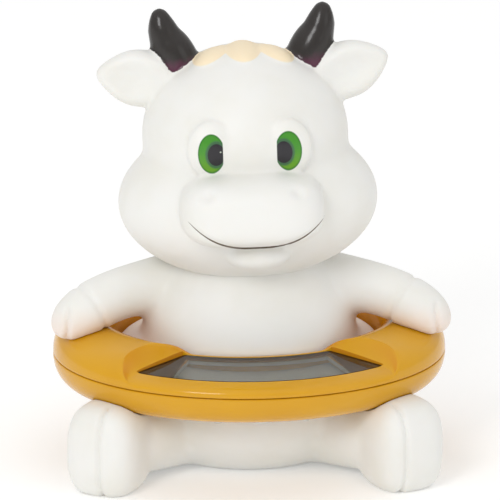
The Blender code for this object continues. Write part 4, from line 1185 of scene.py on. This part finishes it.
# Body
def sculpt_hooves(mesh):
    """Press the splits of the hooves and the borders of the hands into the body."""
    places = vertex_places(mesh)
    depths = np.zeros(len(places))
    for side in (-1.0, 1.0):
        turn = np.array(Matrix.Rotation(side * HOOF_TURN, 3, "Z"))
        local = (places - np.array(mirrored(HOOF_CENTRE, side))) @ turn
        split = side * local[:, 0] + (FOOT_SPLIT_LEFT if side > 0.0 else FOOT_SPLIT_RIGHT)
        front = smooth_step(-local[:, 1], 0.0, FOOT_SPLIT_FADE)
        front *= np.linalg.norm(local, axis=1) < FOOT_SPLIT_REACH
        depths += SPLIT_DEPTH * front * np.exp(-(split / SPLIT_WIDTH) ** 2)
        reach = np.linalg.norm(places - np.array(mirrored(HAND_TIP, side)), axis=1)
        border = reach - (CUFF_REACH_LEFT if side > 0.0 else CUFF_REACH_RIGHT)
        above_ring = smooth_step(places[:, 2], *HAND_FOOT)
        depths += CUFF_SHARE * SPLIT_DEPTH * above_ring * np.exp(-(border / SPLIT_WIDTH) ** 2)
        split = side * places[:, 0] - HAND_SPLIT
        lower = above_ring * (1.0 - smooth_step(places[:, 2], *HAND_SPLIT_TOP))
        near = lower * (1.0 - smooth_step(places[:, 1], *HAND_SPLIT_BACK))
        depths += SPLIT_DEPTH * near * np.exp(-(split / SPLIT_WIDTH) ** 2)
    sink(mesh, depths)


def build_body():
    """Build the body's fine skin, cut to the head, the ring and the floor."""
    bm = bmesh.new()
    add_blob(bm, TORSO_CENTRE, TORSO_RADII)
    add_blob(bm, RUMP_CENTRE, RUMP_RADII)
    waist_centre = Vector((0.0, HOLE_SHIFT, SEAM_HEIGHT))
    waist_radii = (HOLE_HALF_WIDTH, HOLE_HALF_DEPTH, WAIST_RISE)
    add_blob(bm, waist_centre, waist_radii, (0.0, 0.0, RING_YAW), grow=-CLEARANCE)
    for side in (-1.0, 1.0):
        add_limb(bm, (mirrored(HIP, side), mirrored(ANKLE, side)), (HIP_RADIUS, ANKLE_RADIUS))
        add_blob(bm, mirrored(HOOF_CENTRE, side), HOOF_RADII, (0.0, 0.0, side * HOOF_TURN), HOOF_POWER)
        add_limb(bm, [mirrored(point, side) for point in ARM_POINTS], ARM_RADII)
    body = mesh_object("body_skin", bm)
    melt(body, BODY_VOXEL, CORE_SMOOTHING)
    sculpt_hooves(body.data)
    bm = bmesh.new()
    add_blob(bm, CHEEK_CENTRE, CHEEK_RADII, grow=-SEAT_OVERLAP)
    seat = mesh_object("seat", bm)
    seat.data.transform(head_turn())
    cut(body, seat)
    cut(body, ring_envelope(CLEARANCE))
    bm = bmesh.new()
    below = Matrix.Translation((0.0, 0.0, -0.5 * FLOOR_CUT[2])) @ Matrix.Diagonal((*FLOOR_CUT, 1.0))
    bmesh.ops.create_cube(bm, size=1.0, matrix=below)
    cut(body, mesh_object("floor_tool", bm, smooth=False))
    body.data.shade_smooth()
    body.data.set_sharp_from_angle(angle=BODY_CREASE)
    body.data.materials.clear()
    body.data.materials.append(body_paint())
    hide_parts("figure_body")
    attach(body, BODY)


# Nodes that keep their CAD shape
def finish_nodes():
    """Give the small pieces their materials."""
    finishes = {slot: plain_paint(*values) for slot, values in PLAIN_FINISHES.items()}
    finishes.update({"grey_lcd": PANEL, "yellow_shell": SHELL})
    slots = {row["node"]: row["material_slot"] for row in frame["record"]["subparts"]}
    for name, node in frame["nodes"].items():
        finish = finishes.get(slots.get(name))
        if finish is None:
            continue
        for slot in node.material_slots:
            slot.link = "OBJECT"
            slot.material = finish
        if not node.material_slots:
            node.data.materials.append(finish)


# Stage
def area_light(name, place, size, power):
    """Make a soft rectangular light aimed at the part's middle."""
    data = bpy.data.lights.new(name, "AREA")
    data.shape = "RECTANGLE"
    data.size, data.size_y = size
    data.energy = power
    light = link(name, data)
    light.location = place
    light.rotation_euler = (LIGHT_TARGET - Vector(place)).to_track_quat("-Z", "Y").to_euler()


def build_world():
    """Make a white studio sky, brighter overhead than at the horizon."""
    world = bpy.data.worlds.new("studio")
    world.use_nodes = True
    nodes, links = world.node_tree.nodes, world.node_tree.links
    split = nodes.new("ShaderNodeSeparateXYZ")
    links.new(nodes.new("ShaderNodeTexCoord").outputs["Generated"], split.inputs[0])
    ramp = nodes.new("ShaderNodeMapRange")
    ramp.interpolation_type = "SMOOTHSTEP"
    links.new(split.outputs[2], ramp.inputs["Value"])
    for label, value in zip(("From Min", "From Max", "To Min", "To Max"), SKY_RAMP):
        ramp.inputs[label].default_value = value
    backdrop = nodes["Background"]
    backdrop.inputs["Color"].default_value = (1.0, 1.0, 1.0, 1.0)
    links.new(ramp.outputs["Result"], backdrop.inputs["Strength"])
    bpy.context.scene.world = world


def build_stage():
    """Make the floor, the lights, the world and the camera."""
    bm = bmesh.new()
    bmesh.ops.create_grid(bm, x_segments=1, y_segments=1, size=FLOOR_REACH)
    floor = mesh_object("floor", bm, smooth=False)
    paint = Paint("pale_floor", FLOOR_COLOR, 0.7, Emission_Color=(1.0, 1.0, 1.0, 1.0),
                  Emission_Strength=FLOOR_GLOW)
    paint.color(paint.mix(paint.noise(*FLOOR_NOISE), FLOOR_COLOR, FLOOR_SHADE))
    floor.data.materials.append(paint.material)
    build_world()
    for name, (place, size, power) in LIGHTS.items():
        area_light(name, place, size, power)
    data = bpy.data.cameras.new("camera")
    data.sensor_width = SENSOR_WIDTH
    data.lens = SENSOR_WIDTH * CAMERA_DISTANCE / FRAME_WIDTH
    data.clip_start = 0.01
    camera = link("camera", data)
    flat = math.cos(CAMERA_ELEVATION)
    right, back = math.sin(CAMERA_AZIMUTH) * flat, -math.cos(CAMERA_AZIMUTH) * flat
    away = Vector((right, back, math.sin(CAMERA_ELEVATION)))
    camera.location = CAMERA_TARGET + away * CAMERA_DISTANCE
    camera.rotation_euler = (-away).to_track_quat("-Z", "Y").to_euler()
    bpy.context.scene.camera = camera
    bpy.context.scene.view_settings.view_transform = "Standard"


SHELL = shell_paint()
PANEL = lcd_paint()
build_head()
build_body()
build_ring()
finish_nodes()
build_stage()
